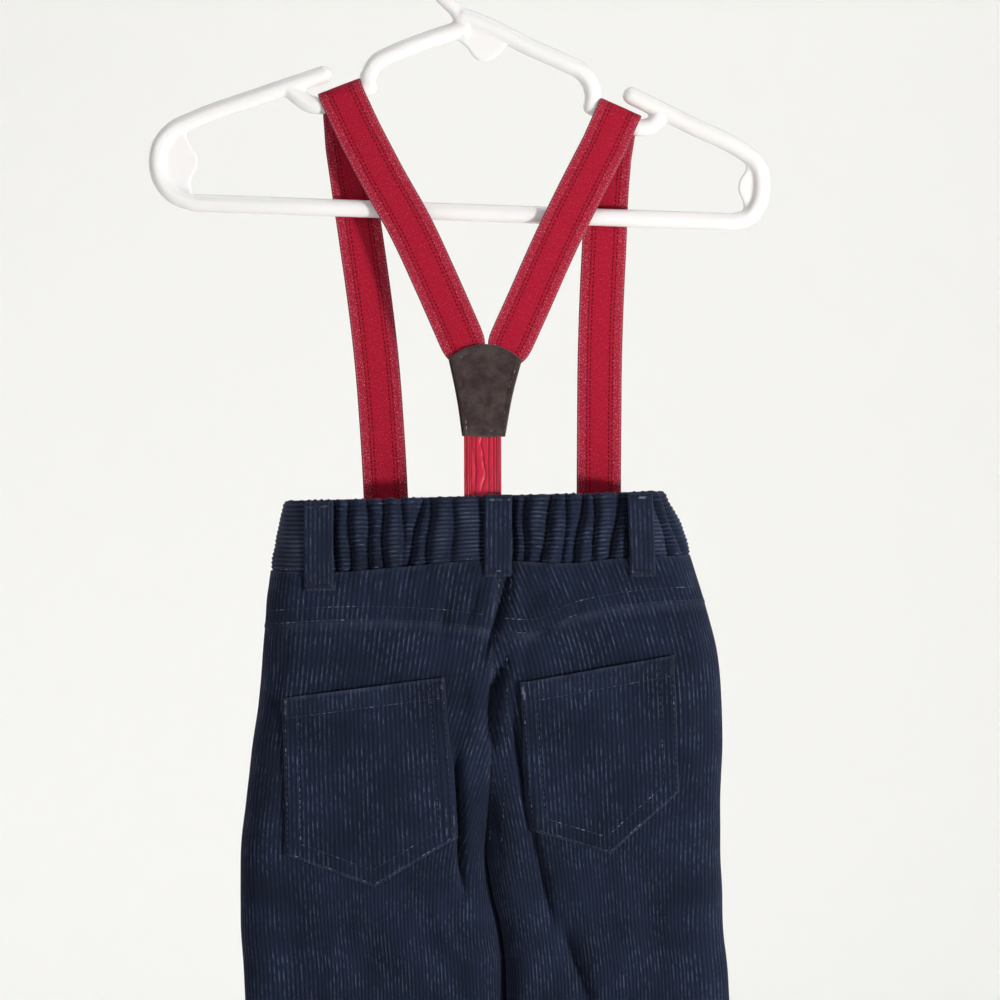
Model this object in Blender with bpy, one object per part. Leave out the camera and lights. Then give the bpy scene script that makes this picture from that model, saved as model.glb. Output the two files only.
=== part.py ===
"""Child's corduroy suspender pants hanging from a moulded hanger, as separate sewn pieces.

The garment is seen from behind: its back faces -Y, +X is to the right and +Z is up. The origin
is the inside top of the hanger's hook. Every table is in millimetres.
"""

import math
from collections import namedtuple

import bmesh
import bpy
import numpy as np
from mathutils import Vector
from mathutils.bvhtree import BVHTree

MM = 0.001

# Hanger: round moulded bars with thin plates in the ends and at the neck.
BAR_DIAMETER = 7.2
BAR_SIDES = 10
TIP_RINGS = [(0.5, 0.866), (0.87, 0.5)]
HOOK_RADIUS = 25.0
HOOK_TIP_ANGLE = -25.0
HOOK_STEM_ANGLE = 225.0
END_PLATE = 2.6
NECK_PLATE = 4.2

# Cloth, webbing and suede.
SEAM_GAP = 0.3
SEAM_DRAW = 0.18
PANEL_CLOTH = 1.6
BAND_CLOTH = 2.4
POCKET_CLOTH = 1.5
POCKET_LIFT = 0.4
LOOP_CLOTH = 1.8
LOOP_CLEARANCE = 0.45
LOOP_BOW = 0.5
STRAP_WIDTH = 22.0
STRAP_CLOTH = 1.4
STRAP_STEP = 9.0
SHORT_STRAP_WIDTH = 19.5
SUEDE = 1.5

# Waistband: gathered on elastic at the back, nearly plain at the front.
BAND_HEIGHT = 36.0
GATHER_DEPTH = 1.5
GATHERS_REACH = (-98.0, 100.0)
GATHERS_FADE = 12.0
FRONT_GATHER_DEPTH = 0.5
FRONT_GATHERS_AT = [-78.0, -54.8, -36.1, -17.2, 5.6, 22.1, 42.9, 66.0, 81.3]
FRONT_GATHER_WIDTH = 5.0

# How far in from the side seam and from the inseam a section rounds over.
SIDE_ROUND = 17.0
INSEAM_ROUND = 15.0

# The grid of points in each wall. Its columns crowd towards the seams and its rows towards the crotch.
BACK_COLUMNS = 17
BACK_ROWS = 32
YOKE_ROWS = 5
FRONT_COLUMNS = 11
FRONT_ROWS = 26
BAND_COLUMNS = 96
FRONT_BAND_COLUMNS = 30
BAND_ROWS = 4
POCKET_COLUMNS = 13
POCKET_ROWS = 12
LOOP_COLUMNS = 4
LOOP_ROWS = 9
SEAM_CROWDING = 0.35
CROTCH_CROWDING = 1.6
CROTCH_REACH = 38.0

# One row for each height: the outer and inner edges of the left and right halves, how deep the
# back and the front stand from the side seams, and how far the halves have parted into legs.
Section = namedtuple("Section", "z left left_in right_in right back front parted")
SECTIONS = [
    Section(-288, -92.0, 14.0, 14.0, 96.0, 21.0, 19.0, 0.0),
    Section(-301, -93.8, 14.0, 14.0, 101.5, 21.0, 19.0, 0.0),
    Section(-313, -97.0, 14.0, 14.0, 107.0, 21.0, 19.0, 0.0),
    Section(-331, -100.5, 13.5, 13.5, 113.0, 21.0, 19.0, 0.0),
    Section(-349, -102.5, 12.0, 12.0, 118.5, 20.5, 18.5, 0.0),
    Section(-373, -104.5, 11.0, 11.0, 124.5, 20.0, 18.0, 0.0),
    Section(-397, -106.5, 11.0, 11.0, 126.6, 20.0, 17.5, 0.0),
    Section(-421, -110.0, 10.5, 10.5, 127.0, 19.5, 17.0, 0.06),
    Section(-445, -112.5, 9.5, 9.5, 126.0, 19.0, 16.5, 0.42),
    Section(-460, -114.5, 8.8, 8.8, 126.0, 18.5, 16.0, 0.8),
    Section(-473, -115.5, 7.8, 8.4, 126.0, 18.0, 15.5, 1.0),
    Section(-493, -115.7, 9.5, 11.2, 127.0, 16.5, 15.0, 1.0),
    Section(-512, -115.6, 13.8, 15.8, 127.4, 15.5, 14.5, 1.0),
    Section(-530, -114.3, 15.8, 18.0, 129.5, 15.0, 14.0, 1.0),
    Section(-546, -113.5, 15.6, 18.6, 130.5, 15.0, 14.0, 1.0),
    Section(-600, -111.0, 13.0, 20.6, 131.6, 14.5, 13.5, 1.0),
    Section(-680, -109.0, 8.5, 24.6, 133.2, 14.0, 13.0, 1.0),
    Section(-748, -107.5, 5.0, 28.0, 134.5, 13.5, 12.5, 1.0),
]
WAIST_Z = -300.0
YOKE_Z = -350.0
CROTCH_Z = -473.0
HEM_Z = -748.0
BEHIND = -200.0

# Seam lines across the garment, as heights along X.
Level = namedtuple("Level", "x z")
WAIST_TOP = [Level(-100, -296.6), Level(0, -294.0), Level(100, -291.4)]
WAIST_SEAM = [Level(-105, -331.6), Level(-66, -332.2), Level(-33, -329.5), Level(8, -326.4),
              Level(55, -327.4), Level(71, -325.6), Level(120, -323.4)]
YOKE_SEAM = [Level(-110, -360.0), Level(-69, -357.2), Level(-27, -357.6), Level(0, -360.0),
             Level(20, -363.0), Level(34, -363.0), Level(50, -355.5), Level(68, -351.2),
             Level(102, -347.6), Level(130, -347.0)]
HEM = [Level(-120, -748.0), Level(140, -748.0)]

# Gather valleys of the back waistband: where each one crosses the top and bottom edges.
Gather = namedtuple("Gather", "top foot width depth")
GATHERS = [
    Gather(-68.0, -67.0, 2.4, 1.0), Gather(-60.5, -59.5, 2.8, 0.9), Gather(-51.0, -50.0, 3.0, 1.0),
    Gather(-43.5, -43.0, 2.6, 1.0), Gather(-33.5, -33.0, 2.6, 0.6),
    Gather(-23.5, -31.0, 3.0, 1.1), Gather(-19.0, -22.0, 2.8, 0.9), Gather(-8.0, -9.0, 3.2, 0.5),
    Gather(5.5, 7.0, 2.4, 1.0), Gather(21.5, 21.5, 2.6, 1.0), Gather(27.5, 27.0, 2.8, 0.9),
    Gather(41.0, 35.0, 3.0, 1.1), Gather(48.5, 46.0, 2.4, 0.6), Gather(56.5, 51.5, 2.8, 1.1),
    Gather(62.0, 61.5, 2.4, 0.8), Gather(75.0, 69.5, 2.8, 1.1), Gather(79.0, 79.0, 2.6, 0.8),
    Gather(92.5, 92.5, 2.6, 0.8),
]

# Folds: a trough has a positive depth and a ridge a negative one. Each fades over its two ends.
FOLD_STEP = 6.0
FOLD_END = 0.02
Fold = namedtuple("Fold", "route width depth")
BACK_FOLDS = [
    Fold([(21, -331), (17, -343), (12, -356), (8, -368)], 4.5, 2.6),
    Fold([(22, -372), (15, -381), (12, -392), (12, -407), (12.5, -424)], 4.5, 3.0),
    Fold([(17, -398), (21, -418), (25, -442), (28, -466)], 4.5, 2.2),
    Fold([(-8, -416), (-6, -446), (-5, -474), (-4, -494)], 4.5, 2.2),
    Fold([(30, -462), (37, -492), (42, -508)], 5.0, 2.0),
    Fold([(44, -506), (52, -526), (60, -548), (68, -580)], 5.5, 2.6),
    Fold([(50, -473), (56, -498), (66, -546), (72, -572)], 6.5, -1.8),
    Fold([(-17, -500), (-11, -516), (0, -526), (11, -530)], 5.0, -1.8),
    Fold([(45, -336), (38, -345)], 4.0, 1.2),
    Fold([(60, -334), (48, -343)], 4.0, 1.2),
    Fold([(-96, -600), (-60, -611), (-20, -604)], 8.0, 1.6),
    Fold([(-70, -640), (-44, -652), (-12, -648)], 8.0, 1.4),
    Fold([(36, -616), (70, -628), (118, -618)], 8.0, 1.6),
    Fold([(48, -662), (84, -670), (120, -660)], 8.0, 1.3),
]
FRONT_FOLDS = [
    Fold([(-34, -418), (-14, -436), (4, -452)], 6.0, 1.8),
    Fold([(54, -416), (36, -436), (18, -452)], 6.0, 1.8),
    Fold([(-88, -392), (-66, -404), (-44, -408)], 7.0, 1.4),
    Fold([(110, -388), (88, -400), (64, -404)], 7.0, 1.4),
    Fold([(-12, -486), (-26, -512), (-32, -548)], 6.0, 1.8),
    Fold([(34, -486), (46, -516), (50, -552)], 6.0, 1.8),
    Fold([(-92, -606), (-58, -616), (-18, -608)], 8.0, 1.6),
    Fold([(34, -610), (72, -622), (120, -614)], 8.0, 1.6),
]

# Patch pockets on the back: a pointed foot, seen from behind.
Corner = namedtuple("Corner", "x z")
POCKETS = {
    "pocket_left": [Corner(-93.0, -394.5), Corner(-12.5, -384.0), Corner(-7.5, -464.5),
                    Corner(-47.5, -488.5), Corner(-91.5, -472.5)],
    "pocket_right": [Corner(24.8, -387.0), Corner(101.5, -373.0), Corner(104.0, -441.0),
                     Corner(70.0, -472.0), Corner(30.5, -460.0)],
}

# Belt loops on the back: the middle of each loop, its width and its two ends.
Loop = namedtuple("Loop", "name x_top x_foot width top foot")
LOOPS = [
    Loop("loop_left", -75.0, -75.0, 14.5, -296.5, -341.0),
    Loop("loop_middle", 14.2, 14.0, 13.5, -293.0, -334.0),
    Loop("loop_right", 84.5, 86.0, 12.5, -292.0, -334.0),
]

# Suspender straps: the middle line, and how much the webbing's width leans out of level.
Station = namedtuple("Station", "x y z lean")
Notch = namedtuple("Notch", "x z lean")
STRAPS = {
    "strap_left": dict(
        notch=Notch(-66.5, -95.0, 21.5),
        front=[Station(-41.0, 15.5, -322.0, 4.0), Station(-42.2, 15.5, -292.0, 4.0),
               Station(-44.8, 14.2, -256.0, 5.0), Station(-47.5, 12.6, -226.0, 5.5),
               Station(-51.0, 11.0, -196.0, 7.0), Station(-55.5, 9.0, -166.0, 9.0),
               Station(-59.5, 7.4, -140.0, 12.0), Station(-63.5, 6.0, -118.0, 16.0)],
        back=[Station(-55.5, -6.0, -112.0, 26.0), Station(-44.0, -7.4, -134.0, 27.5),
              Station(-30.0, -8.8, -159.0, 26.0), Station(-16.0, -10.6, -189.0, 24.5),
              Station(-5.0, -12.7, -214.0, 24.0), Station(1.5, -13.8, -229.0, 24.0)]),
    "strap_right": dict(
        notch=Notch(76.0, -105.2, -24.5),
        front=[Station(64.3, 15.5, -322.0, -2.0), Station(64.4, 15.5, -290.0, -2.0),
               Station(64.6, 13.8, -256.0, -2.0), Station(64.9, 12.2, -226.0, -2.5),
               Station(65.8, 10.6, -196.0, -3.5), Station(67.2, 8.6, -166.0, -5.0),
               Station(69.2, 7.0, -143.0, -9.0), Station(72.6, 5.8, -124.0, -17.0)],
        back=[Station(66.8, -5.8, -119.0, -26.0), Station(53.0, -7.2, -146.0, -26.5),
              Station(41.0, -8.5, -171.0, -25.0), Station(29.0, -9.9, -198.0, -24.5),
              Station(19.5, -11.2, -219.0, -24.4), Station(14.8, -11.7, -229.5, -24.4)]),
}
SHORT_STRAP = [Station(5.6, -13.4, -249.0, 0.0), Station(5.8, -14.4, -266.0, 0.0),
               Station(6.0, -16.2, -290.0, 0.0), Station(6.2, -16.6, -300.0, 0.0),
               Station(6.2, -16.6, -322.0, 0.0)]

# Suede patch: its outline, and where the inside of each of its two layers stands.
PATCH = [Corner(-10.0, -224.5), Corner(-1.5, -219.8), Corner(8.0, -218.2), Corner(17.5, -220.4),
         Corner(26.0, -226.0), Corner(21.5, -243.0), Corner(17.6, -264.4), Corner(-3.0, -264.0),
         Corner(-5.4, -247.0)]
PATCH_BACKING_SHIFT = -1.0
PATCH_TOP_Z = -218.0
PATCH_FOOT_Z = -264.0
Layer = namedtuple("Layer", "top_y foot_y outward shift")
PATCH_LAYERS = {
    "patch_outer": Layer(-14.75, -15.35, -1.0, 0.0),
    "patch_inner": Layer(-9.9, -13.0, 1.0, PATCH_BACKING_SHIFT),
}

# Hanger centre lines, seen from behind.
LEFT_FRAME = [(-75.4, -84.8), (-110.0, -97.1), (-140.0, -107.8), (-149.0, -112.2),
              (-155.4, -118.6), (-157.4, -127.0), (-155.2, -136.6), (-148.6, -144.4), (-138.0, -148.2)]
RIGHT_FRAME = [(82.0, -95.3), (112.0, -110.9), (136.0, -123.2), (142.0, -127.6), (145.6, -133.6),
               (146.4, -141.0), (145.0, -149.0), (140.0, -155.8), (131.0, -158.2)]
LEFT_SADDLE_ROOT = [(-90.0, -91.6), (-86.2, -96.0), (-82.0, -99.2)]
LEFT_INNER_BAR = [(-51.2, -82.0), (-46.6, -76.4), (-38.0, -72.6), (-20.0, -65.6), (-4.0, -60.4)]
RIGHT_SADDLE_ROOT = [(95.0, -102.4), (94.2, -106.8), (91.2, -110.4)]
RIGHT_INNER_BAR = [(61.2, -93.0), (60.2, -87.6), (56.0, -82.6), (46.0, -77.2), (29.0, -69.2),
                   (10.0, -59.6), (-3.0, -54.4)]
SADDLE_REACH = 13.5
ELBOW_SHARE = 0.2
STEM = [(-11.6, -45.0), (-6.6, -50.4), (-4.4, -55.6), (-2.6, -61.0)]
NECK_OUTLINE = [(-11.0, -64.0), (-5.5, -66.6), (-1.6, -69.8), (1.6, -74.2), (5.0, -76.6),
                (9.4, -76.6), (13.2, -74.2), (17.6, -69.4), (18.0, -62.8), (4.0, -55.0), (-5.0, -55.0)]
LEFT_END_OUTLINE = [(-141.0, -109.0), (-141.8, -113.4), (-140.4, -117.4), (-136.6, -123.4),
                    (-136.2, -129.4), (-139.2, -135.0), (-139.4, -140.6), (-136.4, -146.6),
                    (-148.6, -144.4), (-155.2, -136.6), (-157.4, -127.0), (-155.4, -118.6),
                    (-149.0, -112.2)]
RIGHT_END_OUTLINE = [(138.0, -125.0), (137.8, -131.0), (134.6, -136.4), (134.2, -141.4),
                     (136.6, -147.4), (136.2, -152.6), (133.4, -157.0), (140.0, -155.8),
                     (145.0, -149.0), (146.4, -141.0), (145.6, -133.6), (142.0, -127.6)]

SHARP_ANGLE = 50.0
Finish = namedtuple("Finish", "color roughness")
FINISHES = {
    "corduroy": Finish((0.018, 0.024, 0.046), 0.9),
    "webbing": Finish((0.42, 0.012, 0.03), 0.75),
    "suede": Finish((0.055, 0.04, 0.034), 0.9),
    "hanger_plastic": Finish((0.86, 0.86, 0.86), 0.35),
}


# ---------------------------------------------------------------- helpers

def clear_scene():
    for thing in list(bpy.data.objects):
        bpy.data.objects.remove(thing, do_unlink=True)


def finish_material(name):
    made = bpy.data.materials.get(name)
    if made:
        return made
    made = bpy.data.materials.new(name)
    made.use_nodes = True
    shader = made.node_tree.nodes["Principled BSDF"]
    shader.inputs["Base Color"].default_value = (*FINISHES[name].color, 1.0)
    shader.inputs["Roughness"].default_value = FINISHES[name].roughness
    shader.inputs["Metallic"].default_value = 0.0
    return made


def put_in_scene(name, shape, finish):
    """Makes an object of a bmesh that is in millimetres."""
    bmesh.ops.recalc_face_normals(shape, faces=shape.faces[:])
    bmesh.ops.scale(shape, vec=(MM, MM, MM), verts=shape.verts[:])
    mesh = bpy.data.meshes.new(name)
    shape.to_mesh(mesh)
    shape.free()
    mesh.shade_smooth()
    mesh.set_sharp_from_angle(angle=math.radians(SHARP_ANGLE))
    mesh.materials.append(finish_material(finish))
    thing = bpy.data.objects.new(name, mesh)
    bpy.context.scene.collection.objects.link(thing)
    return thing


def smooth_table(rows, at, value, wanted):
    """Reads a column of a table between its rows, along a curve with no kinks."""
    places = np.array([getattr(row, at) for row in rows], float)
    values = np.array([getattr(row, value) for row in rows], float)
    if places[0] > places[-1]:
        places = places[::-1]
        values = values[::-1]
    slopes = np.gradient(values, places)
    wanted = np.clip(np.asarray(wanted, float), places[0], places[-1])
    row = np.clip(np.searchsorted(places, wanted) - 1, 0, len(places) - 2)
    span = places[row + 1] - places[row]
    t = (wanted - places[row]) / span
    return ((2 * t**3 - 3 * t**2 + 1) * values[row] + (t**3 - 2 * t**2 + t) * span * slopes[row]
            + (3 * t**2 - 2 * t**3) * values[row + 1] + (t**3 - t**2) * span * slopes[row + 1])


def section_value(column, z):
    return smooth_table(SECTIONS, "z", column, z)


def level(rows, x):
    return smooth_table(rows, "x", "z", x)


def smooth_route(points, spacing):
    """A curve through hand-placed points, with a point about every `spacing` millimetres."""
    points = np.array(points, float)
    steps = np.linalg.norm(np.diff(points, axis=0), axis=1)
    along = np.concatenate([[0.0], np.cumsum(steps)])
    slopes = np.gradient(points, along, axis=0)
    count = max(2, int(round(along[-1] / spacing)) + 1)
    wanted = np.linspace(0.0, along[-1], count)
    row = np.clip(np.searchsorted(along, wanted) - 1, 0, len(along) - 2)
    span = (along[row + 1] - along[row])[:, None]
    t = ((wanted - along[row]) / span[:, 0])[:, None]
    return ((2 * t**3 - 3 * t**2 + 1) * points[row] + (t**3 - 2 * t**2 + t) * span * slopes[row]
            + (3 * t**2 - 2 * t**3) * points[row + 1] + (t**3 - t**2) * span * slopes[row + 1])


# ---------------------------------------------------------------- garment form

def fold_relief(folds, x, z):
    """How far the folds push the cloth inward at a place seen from behind."""
    relief = np.zeros_like(np.asarray(x, float))
    for fold in folds:
        route = smooth_route(fold.route, FOLD_STEP)
        starts = route[:-1]
        runs = np.diff(route, axis=0)
        nearest = np.full(relief.shape, np.inf)
        share = np.zeros_like(relief)
        for number, (start, run) in enumerate(zip(starts, runs)):
            t = ((x - start[0]) * run[0] + (z - start[1]) * run[1]) / (run @ run)
            held = np.clip(t, 0.0, 1.0)
            away = np.hypot(x - start[0] - held * run[0], z - start[1] - held * run[1])
            closer = away < nearest
            nearest = np.where(closer, away, nearest)
            share = np.where(closer, (number + held) / len(runs), share)
        fade = np.sqrt(np.clip(np.sin(math.pi * np.clip(share, FOLD_END, 1 - FOLD_END)), 0.0, 1.0))
        relief += fold.depth * fade * np.exp(-((nearest / fold.width) ** 2))
    return relief


def half_section(side, face, z, shares):
    """Points of one half of a section, from the side seam to the centre or inseam.

    Shares run from 0 to 1 along the cloth, so that its grain keeps its width."""
    outer = section_value(side, z)
    inner = section_value(side + "_in", z)
    depth = section_value(face, z)
    parted = float(np.clip(section_value("parted", z), 0.0, 1.0))
    reach = abs(inner - outer)
    turn = np.linspace(0.0, math.pi, 181)
    across = (1 - np.cos(turn)) / 2 * reach
    from_side = np.clip(across / SIDE_ROUND, 0.0, 1.0)
    from_seam = np.clip((reach - across) / INSEAM_ROUND, 0.0, 1.0)
    rise = np.sqrt(1 - (1 - from_side) ** 2)
    rise *= (1 - parted) + parted * np.sqrt(1 - (1 - from_seam) ** 2)
    out = depth * rise
    length = np.concatenate([[0.0], np.cumsum(np.hypot(np.diff(across), np.diff(out)))])
    wanted = np.asarray(shares) * length[-1]
    x = outer + math.copysign(1.0, inner - outer) * np.interp(wanted, length, across)
    y = np.interp(wanted, length, out)
    return x, (-y if face == "back" else y)


def panel_points(side, face, top, bottom, shares, rows):
    """A grid of points on the garment's outer face, down from one seam line to another."""
    shares = np.asarray(shares)
    rows = np.asarray(rows)
    z = np.repeat(rows[:, None], len(shares), axis=1) * (HEM_Z - WAIST_Z) + WAIST_Z
    x = np.zeros_like(z)
    y = np.zeros_like(z)
    for _ in range(3):
        for i in range(z.shape[0]):
            for j in range(z.shape[1]):
                px, py = half_section(side, face, z[i, j], shares[j:j + 1])
                x[i, j] = px[0]
                y[i, j] = py[0]
        high = level(top, x) - SEAM_GAP / 2
        low = level(bottom, x) + SEAM_GAP / 2
        z = high + (low - high) * rows[:, None]
    return np.stack([x, y, z], axis=-1)


def outward_normals(points, face):
    along_row = np.gradient(points, axis=1)
    down = np.gradient(points, axis=0)
    normals = np.cross(along_row, down)
    normals /= np.linalg.norm(normals, axis=-1, keepdims=True)
    middle = normals[normals.shape[0] // 2, normals.shape[1] // 2]
    wanted = -1.0 if face == "back" else 1.0
    return normals * (math.copysign(1.0, middle[1]) * wanted)


def level_only(normals):
    """The same directions laid level, so that relief never moves a seam up or down."""
    flat = normals * np.array([1.0, 1.0, 0.0])
    return flat / np.linalg.norm(flat, axis=-1, keepdims=True)


def square_edges(normals, points):
    """Turns the wall's thickness along the seam planes, so that neighbours never cross."""
    normals = normals.copy()
    normals[[0, -1], :, 2] = 0.0
    normals[:, 0, 1] = 0.0
    for i in range(len(normals)):
        if points[i, -1, 2] < CROTCH_Z:
            normals[i, -1, 1] = 0.0
        elif section_value("parted", points[i, -1, 2]) < 0.05:
            normals[i, -1, 0] = 0.0
    return normals / np.linalg.norm(normals, axis=-1, keepdims=True)


def cloth_wall(name, outer, inner, finish):
    """A closed wall between two grids of points of the same size."""
    rows, columns = outer.shape[:2]
    shape = bmesh.new()
    bmesh.ops.create_grid(shape, x_segments=columns - 1, y_segments=rows - 1, size=1.0)
    place = shape.verts.layers.int.new("place")
    shape.verts.ensure_lookup_table()
    for number, vertex in enumerate(shape.verts):
        vertex[place] = number
    grown = bmesh.ops.extrude_face_region(shape, geom=shape.faces[:])
    far_side = {piece for piece in grown["geom"] if isinstance(piece, bmesh.types.BMVert)}
    outer = outer.reshape(-1, 3)
    inner = inner.reshape(-1, 3)
    for vertex in shape.verts:
        source = inner if vertex in far_side else outer
        vertex.co = source[vertex[place]]
    return put_in_scene(name, shape, finish)


def seam_halfgap(points, side):
    """Draws the side seam, the centre seam and the inseam back by half of the seam's gap."""
    points = points.copy()
    sign = 1.0 if side == "left" else -1.0
    away = math.copysign(SEAM_DRAW, points[points.shape[0] // 2, points.shape[1] // 2, 1])
    points[:, 0, 1] = np.where(np.abs(points[:, 0, 1]) < abs(away), away, points[:, 0, 1])
    points[:, -1, 1] = np.where(np.abs(points[:, -1, 1]) < abs(away), away, points[:, -1, 1])
    points[:, -1, 0] -= sign * SEAM_DRAW
    return points


# ---------------------------------------------------------------- garment pieces

def eased(count, ends):
    """Shares from 0 to 1 that crowd towards both ends."""
    t = np.linspace(0.0, 1.0, count)
    return (1 - ends) * t + ends * (1 - np.cos(math.pi * t)) / 2


def make_panel(name, side, face, folds, top, bottom, columns, rows):
    points = panel_points(side, face, top, bottom, eased(columns, SEAM_CROWDING), rows)
    normals = outward_normals(points, face)
    points = points - level_only(normals) * fold_relief(folds, points[..., 0], points[..., 2])[..., None]
    points = seam_halfgap(points, side)
    normals = square_edges(outward_normals(points, face), points)
    return cloth_wall(name, points, points - normals * PANEL_CLOTH, "corduroy")


def leg_rows(count):
    """Row places from the yoke to the hem, closer together round the seat and the crotch."""
    places = np.linspace(0.0, 1.0, 400)
    z = YOKE_Z + places * (HEM_Z - YOKE_Z)
    density = 1.0 + CROTCH_CROWDING * np.exp(-(((z - CROTCH_Z) / CROTCH_REACH) ** 2))
    total = np.concatenate([[0.0], np.cumsum((density[1:] + density[:-1]) / 2)])
    return np.interp(np.linspace(0.0, total[-1], count), total, places)


def gather_relief(x, z, gathers):
    share = np.clip((level(WAIST_TOP, x) - z) / BAND_HEIGHT, 0.0, 1.0)
    relief = np.zeros_like(x)
    for gather in gathers:
        middle = gather.top + (gather.foot - gather.top) * share
        relief += gather.depth * np.exp(-(((x - middle) / gather.width) ** 2))
    return relief


def waistband_points(face, columns, rows):
    """The whole band of one face, from the left side seam to the right one."""
    halves = []
    for side in ("left", "right"):
        shares = eased(columns // 2 + 1, SEAM_CROWDING)
        grid = panel_points(side, face, WAIST_TOP, WAIST_SEAM, shares, np.linspace(0.0, 1.0, rows))
        halves.append(grid if side == "left" else grid[:, ::-1])
    return np.concatenate([halves[0], halves[1][:, 1:]], axis=1)


def make_waistband(name, face, columns, gathers, depth):
    points = waistband_points(face, columns, BAND_ROWS)
    normals = outward_normals(points, face)
    relief = gather_relief(points[..., 0], points[..., 2], gathers) * depth - depth * 0.5
    from_ends = np.minimum(points[..., 0] - GATHERS_REACH[0], GATHERS_REACH[1] - points[..., 0])
    ends = np.clip(from_ends / GATHERS_FADE, 0.0, 1.0)
    points = points - level_only(normals) * (relief * ends)[..., None]
    away = -SEAM_DRAW if face == "back" else SEAM_DRAW
    points[:, 0, 1] = away
    points[:, -1, 1] = away
    normals = outward_normals(points, face)
    normals[:, [0, -1], 1] = 0.0
    normals[[0, -1], :, 2] = 0.0
    normals /= np.linalg.norm(normals, axis=-1, keepdims=True)
    return cloth_wall(name, points, points - normals * BAND_CLOTH, "corduroy")


def pocket_outline_grid(corners, columns, rows):
    """Maps a grid onto a five-cornered pocket: the foot's point is on the middle column."""
    top_left, top_right, low_right, tip, low_left = [np.array(corner, float) for corner in corners]
    tip_share = (tip[0] - low_left[0]) / (low_right[0] - low_left[0])
    shares = np.linspace(0.0, 1.0, columns)
    nearest = int(np.argmin(np.abs(shares - tip_share)))
    shares = np.interp(np.arange(columns), [0, nearest, columns - 1], [0.0, tip_share, 1.0])
    grid = np.zeros((rows, columns, 2))
    for j, share in enumerate(shares):
        head = top_left + (top_right - top_left) * share
        if share <= tip_share:
            foot = low_left + (tip - low_left) * (share / tip_share)
        else:
            foot = tip + (low_right - tip) * ((share - tip_share) / (1 - tip_share))
        grid[:, j] = head + (foot - head) * np.linspace(0.0, 1.0, rows)[:, None]
    return grid


def outer_surface(thing):
    """A searchable copy of an object's faces, in millimetres."""
    points = [vertex.co / MM for vertex in thing.data.vertices]
    faces = [tuple(face.vertices) for face in thing.data.polygons]
    return BVHTree.FromPolygons(points, faces)


def lay_on(panel, flat, gap):
    """Lifts places seen from behind onto a panel's outer face, moved out by a gap."""
    tree = outer_surface(panel)
    rows, columns = flat.shape[:2]
    points = np.zeros((rows, columns, 3))
    for i in range(rows):
        for j in range(columns):
            start = Vector((flat[i, j, 0], BEHIND, flat[i, j, 1]))
            hit = tree.ray_cast(start, Vector((0.0, 1.0, 0.0)))[0]
            points[i, j] = hit
    normals = outward_normals(points, "back")
    return points + normals * gap, normals


def make_pocket(name, panel):
    flat = pocket_outline_grid(POCKETS[name], POCKET_COLUMNS, POCKET_ROWS)
    inner, normals = lay_on(panel, flat, SEAM_GAP + POCKET_LIFT)
    return cloth_wall(name, inner + normals * POCKET_CLOTH, inner, "corduroy")


def make_loop(loop, band, below):
    """A flat strip that stands off the gathered band and is sewn down at its two ends."""
    heights = np.linspace(loop.top, loop.foot, LOOP_ROWS)
    share = (heights - loop.top) / (loop.foot - loop.top)
    middles = loop.x_top + (loop.x_foot - loop.x_top) * share
    across = np.linspace(-loop.width / 2, loop.width / 2, LOOP_COLUMNS)
    trees = [outer_surface(thing) for thing in (band, *below)]
    half_step = (heights[0] - heights[1]) / 2
    under = [(x, dz) for x in np.linspace(-loop.width / 2, loop.width / 2, 2 * LOOP_COLUMNS + 1)
             for dz in (-half_step, 0.0, half_step)]
    ahead = Vector((0.0, 1.0, 0.0))
    carried = []
    for z, middle in zip(heights, middles):
        starts = [Vector((middle + dx, BEHIND, z + dz)) for dx, dz in under]
        hits = [tree.ray_cast(start, ahead)[0] for start in starts for tree in trees]
        carried.append(min(hit[1] for hit in hits if hit))
    inner_y = np.array(carried) - LOOP_CLEARANCE - LOOP_BOW * np.sin(math.pi * share)
    inner = np.zeros((len(heights), len(across), 3))
    inner[..., 0] = middles[:, None] + across
    inner[..., 1] = inner_y[:, None]
    inner[..., 2] = heights[:, None]
    normals = outward_normals(inner, "back")
    return cloth_wall(loop.name, inner + normals * LOOP_CLOTH, inner, "corduroy")


# ---------------------------------------------------------------- straps and patch

def strap_stations(strap):
    """The strap's middle line from the front waistband, over the notch, to the back patch."""
    notch = strap["notch"]
    lean = math.radians(notch.lean)
    up = np.array([-math.sin(lean), 0.0, math.cos(lean)])
    reach = BAR_DIAMETER / 2 + SEAM_GAP + STRAP_CLOTH / 2
    centre = np.array([notch.x, 0.0, notch.z])
    over = []
    for turn in np.radians(np.linspace(0.0, 180.0, 9)):
        spot = centre + reach * (math.cos(turn) * np.array([0.0, 1.0, 0.0]) + math.sin(turn) * up)
        over.append((*spot, notch.lean))
    return np.concatenate([smooth_route(strap["front"], STRAP_STEP), over,
                           smooth_route(strap["back"], STRAP_STEP)])


def strap_wall(name, stations, width, columns=3):
    stations = np.asarray(stations, float)
    lean = np.radians(stations[:, 3])
    side = np.stack([np.cos(lean), np.zeros_like(lean), np.sin(lean)], axis=-1)
    run = np.gradient(stations[:, :3], axis=0)
    normal = np.cross(side, run)
    normal /= np.linalg.norm(normal, axis=-1, keepdims=True)
    across = np.linspace(-width / 2, width / 2, columns)
    middle = stations[:, None, :3] + side[:, None] * across[None, :, None]
    lift = normal[:, None] * STRAP_CLOTH / 2
    return cloth_wall(name, middle + lift, middle - lift, "webbing")


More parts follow.
